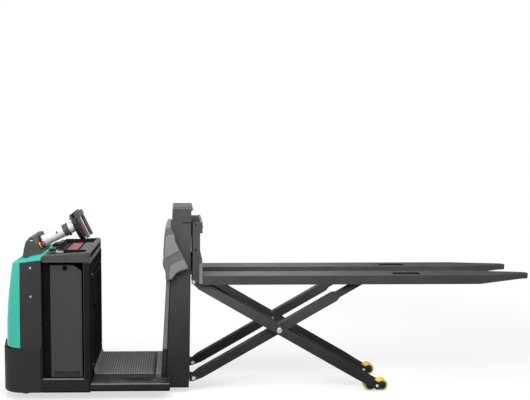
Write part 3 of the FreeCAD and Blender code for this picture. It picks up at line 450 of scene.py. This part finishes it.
def prism(points, axis, low, high):
    """Outline across an axis, extruded from one level to the other."""
    spot = "xyz".index(axis)
    piece = outline([(*point[:spot], low, *point[spot:]) for point in points], True)
    step = [0, 0, 0]
    step[spot] = high - low
    bpy.ops.mesh.extrude_region_move(TRANSFORM_OT_translate={"value": placed(step)})
    bpy.ops.mesh.select_all(action="SELECT")
    bpy.ops.mesh.normals_make_consistent(inside=False)
    bpy.ops.object.mode_set(mode="OBJECT")
    return piece


def chamfered(half, low, high):
    """Outline of a panel with cut corners, centred on the truck's middle."""
    corner = 20
    inner = half - corner
    return [(-half, low + corner), (-inner, low), (inner, low), (half, low + corner),
            (half, high - corner), (inner, high), (-inner, high), (-half, high - corner)]


def block(low, high):
    (x, y, z), (far_x, far_y, top) = low, high
    return prism([(x, y), (far_x, y), (far_x, far_y), (x, far_y)], "z", z, top)


def turned(profile, centre, axis, steps=32):
    """Profile of radius and run, spun round an axis through a centre."""
    along = Vector(axis).normalized()
    out = along.orthogonal().normalized()
    piece = outline([Vector(centre) + along * run + out * radius for radius, run in profile], False)
    bpy.ops.mesh.spin(steps=steps, angle=math.tau, center=placed(centre), axis=along)
    bpy.ops.mesh.select_all(action="SELECT")
    bpy.ops.mesh.remove_doubles(threshold=0.00001)
    bpy.ops.mesh.delete_loose(use_verts=True, use_edges=True, use_faces=False)
    bpy.ops.mesh.select_all(action="SELECT")
    bpy.ops.mesh.normals_make_consistent(inside=False)
    bpy.ops.object.mode_set(mode="OBJECT")
    smoothed(piece)
    return piece


def inset(piece, way, thickness, depth):
    """Inset the faces that look one way, and sink or raise them."""
    only(piece)
    bpy.ops.object.mode_set(mode="EDIT")
    bpy.ops.mesh.select_mode(type="FACE")
    bpy.ops.mesh.select_all(action="DESELECT")
    mesh = bmesh.from_edit_mesh(piece.data)
    for face in mesh.faces:
        face.select_set(face.normal.dot(Vector(way)) > 0.9)
    bmesh.update_edit_mesh(piece.data)
    bpy.ops.mesh.inset(thickness=thickness * 0.001)
    bpy.ops.mesh.inset(thickness=abs(depth) * 0.0005, depth=depth * 0.001)
    bpy.ops.object.mode_set(mode="OBJECT")


def cut(piece, place, way, clear=False):
    """Cut through a piece, and take away what lies beyond if asked to."""
    only(piece)
    bpy.ops.object.mode_set(mode="EDIT")
    bpy.ops.mesh.select_all(action="SELECT")
    bpy.ops.mesh.bisect(plane_co=place, plane_no=way, clear_outer=clear, use_fill=clear)
    bpy.ops.object.mode_set(mode="OBJECT")


def bolt(centre, axis, radius, height=3.0, steps=24):
    """Round head with a sunk socket."""
    return turned([(0, 0), (radius, 0), (radius, 0.6 * height), (0.85 * radius, height),
                   (0.5 * radius, height), (0.44 * radius, 0.4 * height), (0, 0.4 * height)],
                  centre, axis, steps)


def joined(pieces):
    only(pieces[0])
    for piece in pieces[1:]:
        piece.select_set(True)
    bpy.ops.object.join()
    return bpy.context.active_object


def fit(piece, name, finish, body="chassis", rounding=None, replaces=()):
    """Round a new piece if it asks for that, then add it."""
    if rounding:
        softened(piece, rounding * 0.001, 3)
    add_piece(piece, name, body, finish, replaces)


SIDES = (("left", -1), ("right", 1))
FORK_LINE = 187.5  # each fork's middle, from the truck's middle
# Pins of the scissor: place along the truck and height
CENTRE_PIN = (94.1, 454.5)
HEEL_PIN = (-519, 808.5)
ROLLER_PIN = (803.4, 45)


# Drive unit
class TRUCK_OT_housing(PieceOperator, bpy.types.Operator):
    """Finish the bumper, cover, side panels, frame and rear wall"""
    bl_idname = "truck.housing"
    bl_label = "Housing"

    def make(self):
        self.cover()
        self.bumper()
        for node in ("side_panel_left", "side_panel_right"):
            dress(node, sizes().sheet_edge, 3)
        # The rear wall takes the dark finish of painted shade.
        dress("rear_wall", sizes().sheet_edge, 3, "operator_side")
        dress("chassis_frame", finish="frame_paint")
        self.cover_seal()
        for side, sign in SIDES:
            self.side_details(side, sign)
        self.service_panel()

    def cover(self):
        """Cover whose nose draws back towards the shoulder."""
        piece = node_copy("front_cover")
        for level in (0.55, 0.68, 0.78, 0.86):
            cut(piece, (0, 0, level), (0, 0, 1))
        foot, shoulder, flank, nose = 0.50, 0.96, -1.70, -1.80
        lean = sizes().nose_lean
        for vertex in piece.data.vertices:
            rise = min(1, max(0, (vertex.co.z - foot) / (shoulder - foot)))
            near = min(1, max(0, (vertex.co.x - flank) / (nose - flank)))
            vertex.co.x += lean * rise ** 1.6 * near * near * (3 - 2 * near)
        softened(piece, sizes().cover_edge, 4)
        stand_in(piece, "front_cover")

    def bumper(self):
        """Bumper whose top falls a little towards the nose."""
        piece = node_copy("front_bumper")
        cut(piece, (-1.76, 0, 0.3705), (-0.15, 0, 1), clear=True)
        softened(piece, sizes().moulded_edge, 3)
        stand_in(piece, "front_bumper")

    def cover_seal(self):
        """Black band of painted shade where the cover stands on the bumper."""
        gap_shade = node_copy("front_cover")
        cut(gap_shade, (0, 0, 0.376), (0, 0, 1), clear=True)
        bpy.ops.object.mode_set(mode="EDIT")
        bpy.ops.mesh.select_all(action="SELECT")
        bpy.ops.transform.resize(value=(1.003, 1.001, 1), center_override=(-1.6, 0, 0.37))
        bpy.ops.object.mode_set(mode="OBJECT")
        for vertex in gap_shade.data.vertices:
            if vertex.co.z < 0.3705:
                vertex.co.z -= 0.022
        fit(gap_shade, "cover_seal", "recess_black")

    def side_details(self, side, sign):
        way = (0, sign, 0)
        screws = [bolt((-1643, sign * 399.6, level), way, 7.5, 2.2) for level in (935, 736)]
        fit(joined(screws), "panel_screws_" + side, "pin_steel")
        # Light grey strip that paints the highlight along the skirt's top edge.
        trim = block((-1568, sign * 386, 151), (-1281, sign * 401, 156))
        fit(trim, "skirt_trim_" + side, "trim_grey", rounding=1.5)
        # Black strip of painted shade under the skirt.
        sill = block((-1580, sign * 370, 59), (-1240, sign * 398, 70))
        fit(sill, "skirt_rubber_" + side, "recess_black", rounding=1.5)
        post = block((-1281, sign * 392, 158), (-1277, sign * 401, 968))
        fit(post, "post_trim_" + side, "housing_paint", rounding=1.2)

    def service_panel(self):
        """Sheet with screws and a knee pad on the operator's side of the rear wall, sheet and pad
        painted dark as shade.
        """
        sheet = prism(chamfered(300, 190, 900), "x", -1238.4, -1232)
        inset(sheet, (1, 0, 0), 12, -2)
        fit(sheet, "service_panel", "operator_side", rounding=1.2)
        screws = [bolt((-1232.4, across, level), (1, 0, 0), 6, 2.4)
                  for across in (-278, 278) for level in (222, 868)]
        fit(joined(screws), "service_panel_screws", "pin_steel")
        pad = prism(chamfered(210, 620, 850), "x", -1234.5, -1223)
        fit(pad, "knee_pad", "operator_side", rounding=4)


class TRUCK_OT_battery(PieceOperator, bpy.types.Operator):
    """Finish the battery, its side panels and its bay"""
    bl_idname = "truck.battery"
    bl_label = "Battery"

    def make(self):
        dress("battery_block")
        for side, sign in SIDES:
            dress("battery_panel_" + side, finish="battery_sheet")
            band = block((-1494, sign * 377, 172), (-1312, sign * 380.4, 205))
            inset(band, (0, sign, 0), 5, -1.6)
            fit(band, "battery_band_" + side, "grained_moulding", rounding=0.8)
            # Grip cup in black painted as shade.
            cup = turned([(0, 0.3), (15.6, 0.3), (15.6, 9.2), (18, 9.4), (18, 8.2), (13.6, 8.2),
                          (13.6, 1.5), (0, 1.5)], (-1409, sign * 370, 930), (0, sign, 0))
            fit(cup, "battery_grip_cup_" + side, "recess_black")
            # Black block of painted shade in the battery bay.
            shade_block = block((-1569, sign * 350, 157), (-1514, sign * 362, 966))
            fit(shade_block, "bay_cheek_" + side, "recess_black", rounding=2)
            studs = [bolt((-1546, sign * 362, level), (0, sign, 0), 7, 4) for level in (532, 614)]
            fit(joined(studs), "bay_studs_" + side, "black_moulding")


class TRUCK_OT_running_gear(PieceOperator, bpy.types.Operator):
    """Finish the motor, drive wheel and castors"""
    bl_idname = "truck.running_gear"
    bl_label = "Running Gear"

    def make(self):
        for node in ("traction_motor", "drive_fork", "castor_fork_left", "castor_fork_right"):
            dress(node)
        wheel("drive_wheel", "tyre_rubber", 12.4, 3, 6)
        for side, _ in SIDES:
            wheel("castor_wheel_" + side, "roller_cast", 8.3, 0, 4)


def wheel(node, tyre, bore, grooves, bolts):
    """Tyre with a rounded tread and a cast hub in place of a plain wheel."""
    low, high = [[part * 1000 for part in corner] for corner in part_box(node)]
    centre = [(first + last) / 2 for first, last in zip(low, high)]
    radius = (high[2] - low[2]) / 2
    half = (high[1] - low[1]) / 2
    tread = [(radius - 3.5, half - 0.5), (radius, half - 6)]
    pitch = 20
    for step in range(grooves):
        middle = ((grooves - 1) / 2 - step) * pitch
        tread += [(radius, middle + 3), (radius - 3, middle + 2), (radius - 3, middle - 2),
                  (radius, middle - 3)]
    tread += [(radius, 6 - half), (radius - 3.5, 0.5 - half)]
    eye, web, ring, lip, rim = [radius * share for share in (0.34, 0.38, 0.60, 0.66, 0.72)]
    shape = [(rim, -half + 0.5), (rim, half - 0.5)] + tread
    fit(turned(shape, centre, (0, 1, 0), 72), node + "_tyre", tyre, NODE_BODY[node],
        replaces=[node])
    face = half - 1.5
    floor = face - 6
    hub = [(bore, -face), (eye, -face), (web, -floor), (ring, -floor), (lip, -face),
           (rim + 0.5, -face)]
    hub += [(out, -run) for out, run in reversed(hub)]
    parts = [turned(hub, centre, (0, 1, 0), 48)]
    circle = radius * 0.49
    for side in (-1, 1):
        for step in range(bolts):
            turn = math.tau * step / bolts
            spot = (centre[0] + circle * math.cos(turn), centre[1] + side * floor,
                    centre[2] + circle * math.sin(turn))
            parts.append(bolt(spot, (0, side, 0), radius * 0.055, 4, 12))
    fit(joined(parts), node + "_hub", "grained_casting", NODE_BODY[node])


# Console and steering
class TRUCK_OT_console(PieceOperator, bpy.types.Operator):
    """Finish the console, its tray, the hump and the switches"""
    bl_idname = "truck.console"
    bl_label = "Console"

    def make(self):
        dress("console", sizes().moulded_edge, 3)
        dress("console_hump", sizes().moulded_edge, 3)
        self.tray()
        self.controls()
        for side, sign in SIDES:
            lip = prism([(-1570, 986), (-1556, 971), (-1240, 971), (-1240, 986)], "y",
                        sign * 389, sign * 400)
            fit(lip, "console_lip_" + side, "console_moulding", rounding=2)
            lens = block((-1682, sign * 196, 1094), (-1660, sign * 201.2, 1099.5))
            fit(lens, "hump_lens_" + side, "column_casing", rounding=1)
        # Black liner of painted shade in the hand recess under the console's lip.
        recess = prism([(-1240, 990), (-1264, 990), (-1264, 1018), (-1240, 1018), (-1240, 1016),
                        (-1262, 1016), (-1262, 992), (-1240, 992)], "y", -334, 334)
        fit(recess, "hand_recess_liner", "recess_black")

    def tray(self):
        """Tray with a divider, a red insert, a pad and a paper clip; its liner is black painted as
        shade.
        """
        liner = block((-1510, -369, 1000.4), (-1269, 369, 1035))
        inset(liner, (0, 0, 1), 4, -31)
        fit(liner, "tray_liner", "recess_black", rounding=1.5)
        divider = prism([(-1504, 1003), (-1275, 1003), (-1275, 1022), (-1300, 1030), (-1480, 1030),
                         (-1504, 1024)], "y", -186, -180)
        fit(divider, "tray_divider", "black_moulding", rounding=1.5)
        insert = block((-1440, -110, 1003.8), (-1364, 290, 1014))
        inset(insert, (0, 0, 1), 8, -6)
        fit(insert, "tray_insert", "red_moulding", rounding=2)
        clip = prism([(-1560, 1023), (-1512, 1026), (-1510, 1040), (-1520, 1047), (-1552, 1044),
                      (-1562, 1034)], "y", 10, 130)
        fit(clip, "paper_clip", "black_moulding", rounding=3)
        papers = block((-1352, -140, 1003.8), (-1284, 330, 1009))
        inset(papers, (0, 0, 1), 6, 3)
        fit(papers, "tray_pad", "ribbed_rubber", rounding=2)

    def controls(self):
        """Stop button, key knob and display."""
        dress("stop_button", sizes().casing_edge, 3)
        shield = turned([(0, -1), (22.5, -1), (22.5, 1), (21, 2.5), (0, 2.5)],
                        on_column(5, 14, -112), COLUMN_WAY, 40)
        fit(shield, "stop_shield", "roller_cast")
        boss = block((-1532, -368, 1000.6), (-1480, -308, 1041))
        fit(boss, "knob_boss", "console_moulding", rounding=6)
        knob = turned([(0, 0), (19, 0), (19, 4), (16.5, 6), (16, 15), (14, 17.5), (6, 17.5),
                       (5, 16), (0, 16)], (-1506, -338, 1041), (0, 0, 1), 40)
        mark = block((-1507.2, -352, 1058), (-1504.8, -340, 1059))
        fit(knob, "key_knob", "black_moulding")
        fit(mark, "key_knob_mark", "column_casing", rounding=0.4)
        dress("display_pod", 0.003, 3, "silver_plastic")
        bezel = prism([(-1486, 1033), (-1444, 1022), (-1444, 1025), (-1486, 1036)], "y",
                      -272, -208)
        fit(bezel, "display_bezel", "silver_plastic", rounding=1)
        glass = prism([(-1480, 1034), (-1456, 1027.7), (-1456, 1029.2), (-1480, 1035.5)], "y",
                      -264, -216)
        fit(glass, "display_glass", "black_moulding", rounding=0.4)
        keys = [turned([(0, 0), (3.6, 0), (3.6, 1.6), (2.6, 2.4), (0, 2.4)],
                       (-1449.5, across, 1026), (0.25, 0, 0.97), 16)
                for across in (-256, -240, -224)]
        fit(joined(keys), "display_keys", "black_moulding")


COLUMN_FOOT = (-1633.6, 1063.0)
COLUMN_LEAN = math.radians(26)
COLUMN_WAY = (math.cos(COLUMN_LEAN), 0, math.sin(COLUMN_LEAN))
DROP_WAY = (math.sin(COLUMN_LEAN), 0, -math.cos(COLUMN_LEAN))


def on_column(run, drop, across=0.0):
    """Point at a run along the steering column and a drop below its axis."""
    return (COLUMN_FOOT[0] + run * COLUMN_WAY[0] + drop * DROP_WAY[0], across,
            COLUMN_FOOT[1] + run * COLUMN_WAY[2] + drop * DROP_WAY[2])


class TRUCK_OT_steering(PieceOperator, bpy.types.Operator):
    """Finish the steering column and head"""
    bl_idname = "truck.steering"
    bl_label = "Steering"

    def make(self):
        dress("steering_column", sizes().casing_edge, 3)
        self.column_details()
        head = dress("steering_head", sizes().casing_edge, 3)
        head.data.materials.append(finish_of("grip_moulding"))
        disc_top, axis = placed(on_column(301.5, 0)), placed(on_column(0, 2))
        bridge_half, bridge_rise = 0.0465, 0.032
        for face in head.data.polygons:
            past_disc = (face.center - disc_top).dot(Vector(COLUMN_WAY)) > 0
            raised = (face.center - axis).dot(Vector(DROP_WAY)) < -bridge_rise
            if past_disc or raised and abs(face.center.y) < bridge_half:
                face.material_index = 1
        self.grips()
        self.switches()

    def column_details(self):
        base = on_column(0, 0)
        boot = turned([(42.1, -2), (53, -2), (51, 9), (46, 14), (42.1, 14)], base, COLUMN_WAY, 48)
        fit(boot, "column_boot", "black_moulding")
        collar = turned([(42, 183), (45.8, 186), (45.8, 203), (44, 205), (44, 208), (45.8, 210),
                         (45.8, 225), (42, 228)], base, COLUMN_WAY, 48)
        fit(collar, "column_collar", "grip_moulding")
        nub = turned([(0, -8), (5, -8), (6, -5), (6, 5), (5, 8), (0, 8)], on_column(216, 48),
                     COLUMN_WAY, 16)
        fit(nub, "collar_clamp", "black_moulding")
        for side, sign in SIDES:
            screw = bolt(on_column(137, -15, sign * 38), (0, sign, 0), 8.5, 4)
            fit(screw, "column_screw_" + side, "black_moulding")

    def grips(self):
        for side, sign in SIDES:
            middle = on_column(338, 0, sign * 96)
            profile = [(12.8, 34), (14, 34)]
            for step in range(12):
                run = 37 + step * 6.3
                profile += [(14.2, run), (14.2, run + 3.2), (13.5, run + 4), (13.5, run + 5.6)]
            profile += [(14.2, 113), (13.2, 117.5), (12.8, 117.5)]
            fit(turned(profile, middle, DROP_WAY, 32), "grip_sleeve_" + side, "grip_moulding",
                "steering_handle")
            mark = turned([(12.8, 22), (14.2, 22), (14.6, 25), (14.6, 29), (14.2, 32), (12.8, 32)],
                          middle, DROP_WAY, 32)
            fit(mark, "grip_mark_" + side, "red_moulding", "steering_handle")

    def switches(self):
        wheels = [turned([(0, -4), (14, -4), (17, -1.5), (17, 1.5), (14, 4), (0, 4)],
                         on_column(306, -72, sign * 46), (0, 1, 0), 28) for _, sign in SIDES]
        fit(joined(wheels), "thumb_wheels", "black_moulding", "steering_handle")
        horn = turned([(0, -6), (10, -6), (10, 3), (8, 5.5), (0, 6.5)], on_column(350, -77),
                      (0.99, 0, 0.12), 28)
        fit(horn, "horn_button", "black_moulding", "steering_handle")
        lever = turned([(0, -6), (4.5, -6), (5, 6), (3.5, 15), (0, 16.5)], on_column(272, -60, -28),
                       [-part for part in COLUMN_WAY], 20)
        fit(lever, "speed_lever", "black_moulding", "steering_handle")


# Platform and mast
class TRUCK_OT_platform(PieceOperator, bpy.types.Operator):
    """Finish the platform, its ribbed mat and the heel strip"""
    bl_idname = "truck.platform"
    bl_label = "Platform"

    def make(self):
        dress("platform_frame", finish="frame_paint")
        # The mat between the ribs is painted dark as shade.
        dress("platform_mat", finish="mat_groove")
        dress("heel_strip")
        pitch, ribbed_length = sizes().rib_pitch, 0.409
        rib = prism([(-1214, 149), (-1204, 149), (-1206, 155), (-1212, 155)], "y", -268, 268)
        array = rib.modifiers.new("Ribs", "ARRAY")
        array.count = int(ribbed_length / pitch)
        array.use_relative_offset = False
        array.use_constant_offset = True
        array.constant_offset_displace = (pitch, 0, 0)
        only(rib)
        bpy.ops.object.modifier_apply(modifier=array.name)
        fit(rib, "mat_ribs", "ribbed_rubber")
        teeth = [(-1228.4, 181)]
        for step in range(5):
            x, z = -1228 + 2.3 * step, 178 - 6 * step
            teeth += [(x + 3.4, z + 1.4), (x + 4.4, z - 2.2), (x + 1.4, z - 3.4)]
        curl = prism(teeth + [(-1219, 149), (-1229, 150)], "y", -268, 268)
        fit(curl, "mat_curl", "ribbed_rubber")
        for side, sign in SIDES:
            # Light grey rim that paints the highlight along the mat's edge.
            rim = prism([(-1219, 149), (-1227, 176), (-1222, 178), (-1213, 154.5), (-806, 154.5),
                         (-806, 149)], "y", sign * 268, sign * 273)
            fit(rim, "mat_rim_" + side, "trim_grey", rounding=1.2)
            # Light grey strip that paints the highlight along the ledge's top.
            ledge = block((-1236, sign * 388, 114.5), (-688, sign * 401, 119.2))
            fit(ledge, "ledge_trim_" + side, "trim_grey", rounding=1.2)
            # Black strip of painted shade under the ledge.
            sill = block((-1238, sign * 387, 67), (-688, sign * 399, 80))
            fit(sill, "ledge_rubber_" + side, "recess_black", rounding=1.5)


class TRUCK_OT_mast(PieceOperator, bpy.types.Operator):
    """Finish the mast, its rails, feet, trim and backrest"""
    bl_idname = "truck.mast"
    bl_label = "Mast"

    def make(self):
        tower = node_copy("mast_tower")
        self.drawn_out(tower, (-0.714, 0.039), 0.0436)
        softened(tower, 0.003, 3)
        stand_in(tower, "mast_tower")
        for node in ("mast_rail_left", "mast_rail_right", "pivot_foot_left", "pivot_foot_right",
                     "backrest_spacer"):
            dress(node)
        self.front_panel()
        for name, low, high in (("left", -248, -200), ("middle", -152, 152), ("right", 200, 248)):
            cap = block((-664, low, 1323), (-525, high, 1327))
            fit(cap, "mast_cap_" + name, "mast_cap_paint", rounding=1.6)
        for side, sign in SIDES:
            # Black strips of painted shade in the grooves between the cap plates.
            slot = block((-662, sign * 154, 1323), (-527, sign * 198, 1324.6))
            fit(slot, "mast_slot_" + side, "recess_black", rounding=0.4)
        for side, sign in SIDES:
            middle = sign * FORK_LINE
            rings = []
            for face in (-41, 41):
                way = (0, 1 if face > 0 else -1, 0)
                rings.append(bolt((-519, middle + face, 100.5), way, 13, 3.4, 32))
                rings.append(bolt((-503.5, middle + face, 107), way, 4.5, 2.6, 6))
            fit(joined(rings), "foot_pin_caps_" + side, "pin_steel")
        self.backrest()

    def drawn_out(self, piece, foot, lean):
        """Draw the leaning face on the operator's side out."""
        reach = sizes().mast_reach
        for vertex in piece.data.vertices:
            face = foot[0] + lean * (vertex.co.z - foot[1])
            if vertex.co.x < face + 0.001:
                vertex.co.x -= reach

    def front_panel(self):
        """Light strip up the mast's front, dark below the knee."""
        knee = 0.324
        piece = node_copy("mast_front_panel")
        cut(piece, (0, 0, knee), (0, 0, 1))
        self.drawn_out(piece, (-0.742, 0.118), 0.0541)
        softened(piece, 0.0025, 2)
        stand_in(piece, "mast_front_panel", "trim_grey")
        piece.data.materials.append(finish_of("mast_satin"))
        for face in piece.data.polygons:
            if face.center.z < knee - 0.0005:
                face.material_index = 1

    def backrest(self):
        """Shell with raised pads on its wings and its front; the shell is painted darker as shade.
        """
        dress("backrest", sizes().moulded_edge, 3, finish="backrest_shell")
        upper = [(-715, 1128), (-690, 1150), (-656, 1140), (-651, 1104), (-621, 1036), (-707, 988),
                 (-725, 982), (-722, 1060)]
        lower = [(-683, 930), (-594, 971), (-567, 926), (-565, 914), (-616, 895), (-645, 877),
                 (-676, 835), (-694, 838)]
        for side, sign in SIDES:
            for name, points in (("upper", upper), ("lower", lower)):
                pad = prism(points, "y", sign * 292.5, sign * 299)
                fit(pad, "wing_pad_%s_%s" % (name, side), "backrest_skin", rounding=3)
        front = (("upper", [(-736, 990), (-727.5, 1132), (-714.5, 1186), (-706, 1186),
                            (-714, 1132), (-724, 990)]),
                 ("lower", [(-735, 968), (-740, 938), (-733.5, 905), (-720, 878), (-718, 848),
                            (-706, 848), (-706, 878), (-719, 905), (-726, 938), (-724, 968)]))
        for name, points in front:
            fit(prism(points, "y", -236, 236), "front_pad_" + name, "backrest_skin", rounding=3)


# Scissor lift and forks
class TRUCK_OT_scissor(PieceOperator, bpy.types.Operator):
    """Finish the scissor arms, their pins, the bogies and the load rollers"""
    bl_idname = "truck.scissor"
    bl_label = "Scissor Lift"

    def make(self):
        for side, sign in SIDES:
            for node in ("lift_arm_", "wheel_arm_", "bogie_"):
                dress(node + side, finish="arm_satin")
            for node in ("load_roller_front_", "load_roller_rear_"):
                wheel(node + side, "roller_cast", 9.3, 0, 0)
            self.pins(side, sign * FORK_LINE)

    def pins(self, side, middle):
        """Pin heads and the nut of one wheel arm."""
        heads = []
        for face in (-65, 65):
            way = (0, 1 if face > 0 else -1, 0)
            x, z = CENTRE_PIN
            centre = (x, middle + face, z)
            outside = face * middle > 0
            if outside:
                heads.append(bolt(centre, way, 20, 7, 32))
            else:
                nut = bolt(centre, way, 19, 9, 6)
                heads.append(bolt((x, middle + face + way[1] * 3, z), way, 10, 8, 24))
            x, z = ROLLER_PIN
            heads.append(bolt((x, middle + face, z), way, 11, 4, 24))
            x, z = HEEL_PIN
            heads.append(bolt((x, middle + face * 83 / 65, z), way, 11, 3, 24))
        body = "wheel_arms_" + side
        fit(joined(heads), "arm_pins_" + side, "pin_steel", body)
        fit(nut, "arm_nut_" + side, "dark_steel", body)


class TRUCK_OT_forks(PieceOperator, bpy.types.Operator):
    """Finish the forks and the carriage"""
    bl_idname = "truck.forks"
    bl_label = "Forks"

    def make(self):
        for node in ("fork_left", "fork_right", "carriage"):
            dress(node)
        body = NODE_BODY["carriage"]
        for side, sign in SIDES:
            edge = block((-479.5, sign * 279, 797), (-457, sign * 281.6, 940))
            fit(edge, "heel_edge_" + side, "ground_plate", body, rounding=1)
            middle = sign * FORK_LINE
            bead = turned([(0, -84), (3, -86), (4.5, -83), (4.5, 83), (3, 86), (0, 84)],
                          (-455, middle, 856), (0, 1, 0), 16)
            fit(bead, "heel_weld_" + side, "fork_satin", body)
            # Holes lined with black painted as shade.
            holes = [turned([(0, 0), (6.5, 0), (6.5, 0.9), (5, 0.9), (4.6, 0.4), (0, 0.4)],
                            (x, sign * 272, z), (0, sign, 0), 24)
                     for x, z in ((-504, 1212), (-506, 1037))]
            fit(joined(holes), "carriage_holes_" + side, "recess_black", body)
        bolts = [bolt((-456.8, across, 1196), (1, 0, 0), 9, 5, 6)
                 for across in (-230, -80, 80, 230)]
        fit(joined(bolts), "top_bar_bolts", "dark_steel", body)
        # Black sheet of painted shade over the carriage's hollow top.
        hollow = block((-596, -254, 1229), (-476, 254, 1231.5))
        fit(hollow, "carriage_seal", "recess_black", body, rounding=0.8)


# Stage, light and camera
class TRUCK_OT_stage(PieceOperator, bpy.types.Operator):
    """Set the floor, the lamps, the world and the camera"""
    bl_idname = "truck.stage"
    bl_label = "Stage"

    floor_side: length_prop("Floor side", 60.0, "Side of the floor")
    camera_place: bpy.props.FloatVectorProperty(
        name="Camera place", description="Camera position", subtype="XYZ", unit="LENGTH", size=3,
        default=(-0.640, -5.326, 1.785))
    pitch: bpy.props.FloatProperty(
        name="Pitch", description="Camera's downward tilt", subtype="ANGLE",
        default=math.radians(4.461))
    yaw: bpy.props.FloatProperty(
        name="Yaw", description="Camera's turn towards the forks", subtype="ANGLE",
        default=math.radians(1.009))
    lens: bpy.props.FloatProperty(
        name="Lens", description="Focal length on a 36 mm sensor, in millimetres", default=49.22)
    slide: bpy.props.FloatProperty(
        name="Slide", description="Sideways lens shift, in frame widths", default=0.143)

    def make(self):
        self.make_floor()
        self.make_lamps()
        self.make_world()
        self.make_camera()
        bpy.context.scene.view_settings.view_transform = "Standard"

    def make_floor(self):
        bpy.ops.object.select_all(action="DESELECT")
        bpy.ops.mesh.primitive_plane_add(size=self.floor_side, location=(0, 0, 0))
        floor = bpy.context.active_object
        floor.name = "floor"
        floor.data.materials.append(self.floor_material())

    def floor_material(self):
        """White for the camera, with the truck's shadow, and plain grey for the light it throws."""
        material = bpy.data.materials.new("studio_floor")
        material.use_nodes = True
        tree = material.node_tree
        tree.nodes.clear()
        grey, dark_grey = (0.42, 0.42, 0.42, 1), (0.18, 0.18, 0.18, 1)
        near = wired(tree, "AddShader", {0: wired(tree, "BsdfDiffuse", {"Color": grey}),
                                         1: wired(tree, "Emission", {"Strength": 0.66})})
        place = wired(tree, "TexCoord", output="Object")
        reach = wired(tree, "VectorMath", {0: place}, "Value", operation="LENGTH")
        far = remap(tree, reach, 2.2, 4.5, 0.0, 1.0)
        seen = wired(tree, "MixShader", {0: far, 1: near, 2: wired(tree, "Emission")})
        bounce = wired(tree, "BsdfDiffuse", {"Color": dark_grey})
        rays = tree.nodes.new("ShaderNodeLightPath").outputs
        passing = math_node(tree, "MAXIMUM", rays["Is Glossy Ray"], rays["Is Transmission Ray"])
        visible = math_node(tree, "MAXIMUM", rays["Is Camera Ray"], passing)
        both = wired(tree, "MixShader", {0: visible, 1: bounce, 2: seen})
        feed(tree, tree.nodes.new("ShaderNodeOutputMaterial"), {"Surface": both})
        return material

    def make_lamps(self):
        """Wide lamps overhead, above the camera, past the nose and behind."""
        table = (  # name, place, aim, side lengths, power
            ("overhead", (-0.2, -1.1, 3.1), (0.0, -0.1, 0.7), (5.0, 1.8), 95),
            ("front_fill", (-1.2, -4.0, 3.9), (-0.2, 0.0, 0.6), (4.8, 1.8), 125),
            ("nose_side", (-4.6, -3.2, 2.6), (-1.2, 0.0, 0.6), (2.2, 2.2), 45),
            ("back", (-0.6, 4.6, 3.4), (0.0, 0.0, 0.6), (4.5, 2.2), 85),
        )
        for name, place, aim, sides, power in table:
            bpy.ops.object.light_add(type="AREA", location=place)
            lamp = bpy.context.active_object
            lamp.name = name
            lamp.data.shape = "RECTANGLE"
            lamp.data.size, lamp.data.size_y = sides
            lamp.data.energy = power
            way = Vector(aim) - Vector(place)
            lamp.rotation_euler = way.to_track_quat("-Z", "Y").to_euler()

    def make_world(self):
        """Soft grey light all round, seen as white."""
        world = bpy.data.worlds.new("studio")
        bpy.context.scene.world = world
        world.use_nodes = True
        tree = world.node_tree
        tree.nodes.clear()
        soft = wired(tree, "Background", {"Strength": 0.22})
        white = wired(tree, "Background", {"Color": (1, 1, 1, 1)})
        rays = tree.nodes.new("ShaderNodeLightPath").outputs
        visible = math_node(tree, "MAXIMUM", rays["Is Camera Ray"], rays["Is Transmission Ray"])
        both = wired(tree, "MixShader", {0: visible, 1: soft, 2: white})
        feed(tree, tree.nodes.new("ShaderNodeOutputWorld"), {"Surface": both})

    def make_camera(self):
        bpy.ops.object.camera_add(location=self.camera_place,
                                  rotation=(math.pi / 2 - self.pitch, 0, -self.yaw))
        camera = bpy.context.active_object
        camera.name = "photo_camera"
        camera.data.sensor_width = 36
        camera.data.lens = self.lens
        camera.data.shift_x = self.slide
        bpy.context.scene.camera = camera


class TRUCK_PT_looks(bpy.types.Panel):
    """Lists the finishing steps of the truck"""
    bl_label = "Order Picker Truck"
    bl_idname = "TRUCK_PT_looks"
    bl_space_type = "VIEW_3D"
    bl_region_type = "UI"
    bl_category = "Order Picker"

    def draw(self, context):
        for step in STEPS:
            self.layout.operator(step.bl_idname)
        for group in (context.scene.truck_colours, context.scene.truck_sizes):
            for name in group.__annotations__:
                self.layout.prop(group, name)


STEPS = (TRUCK_OT_stage, TRUCK_OT_housing, TRUCK_OT_battery, TRUCK_OT_running_gear,
         TRUCK_OT_console, TRUCK_OT_steering, TRUCK_OT_platform, TRUCK_OT_mast, TRUCK_OT_scissor,
         TRUCK_OT_forks)
CLASSES = (TruckColours, TruckSizes, *STEPS, TRUCK_PT_looks)


def register():
    for item in CLASSES:
        bpy.utils.register_class(item)
    bpy.types.Scene.truck_colours = bpy.props.PointerProperty(type=TruckColours)
    bpy.types.Scene.truck_sizes = bpy.props.PointerProperty(type=TruckSizes)


def unregister():
    del bpy.types.Scene.truck_sizes
    del bpy.types.Scene.truck_colours
    for item in reversed(CLASSES):
        bpy.utils.unregister_class(item)


def main():
    register()
    for step in STEPS:
        group, name = step.bl_idname.split(".")
        getattr(getattr(bpy.ops, group), name)()


if __name__ == "__main__":
    main()
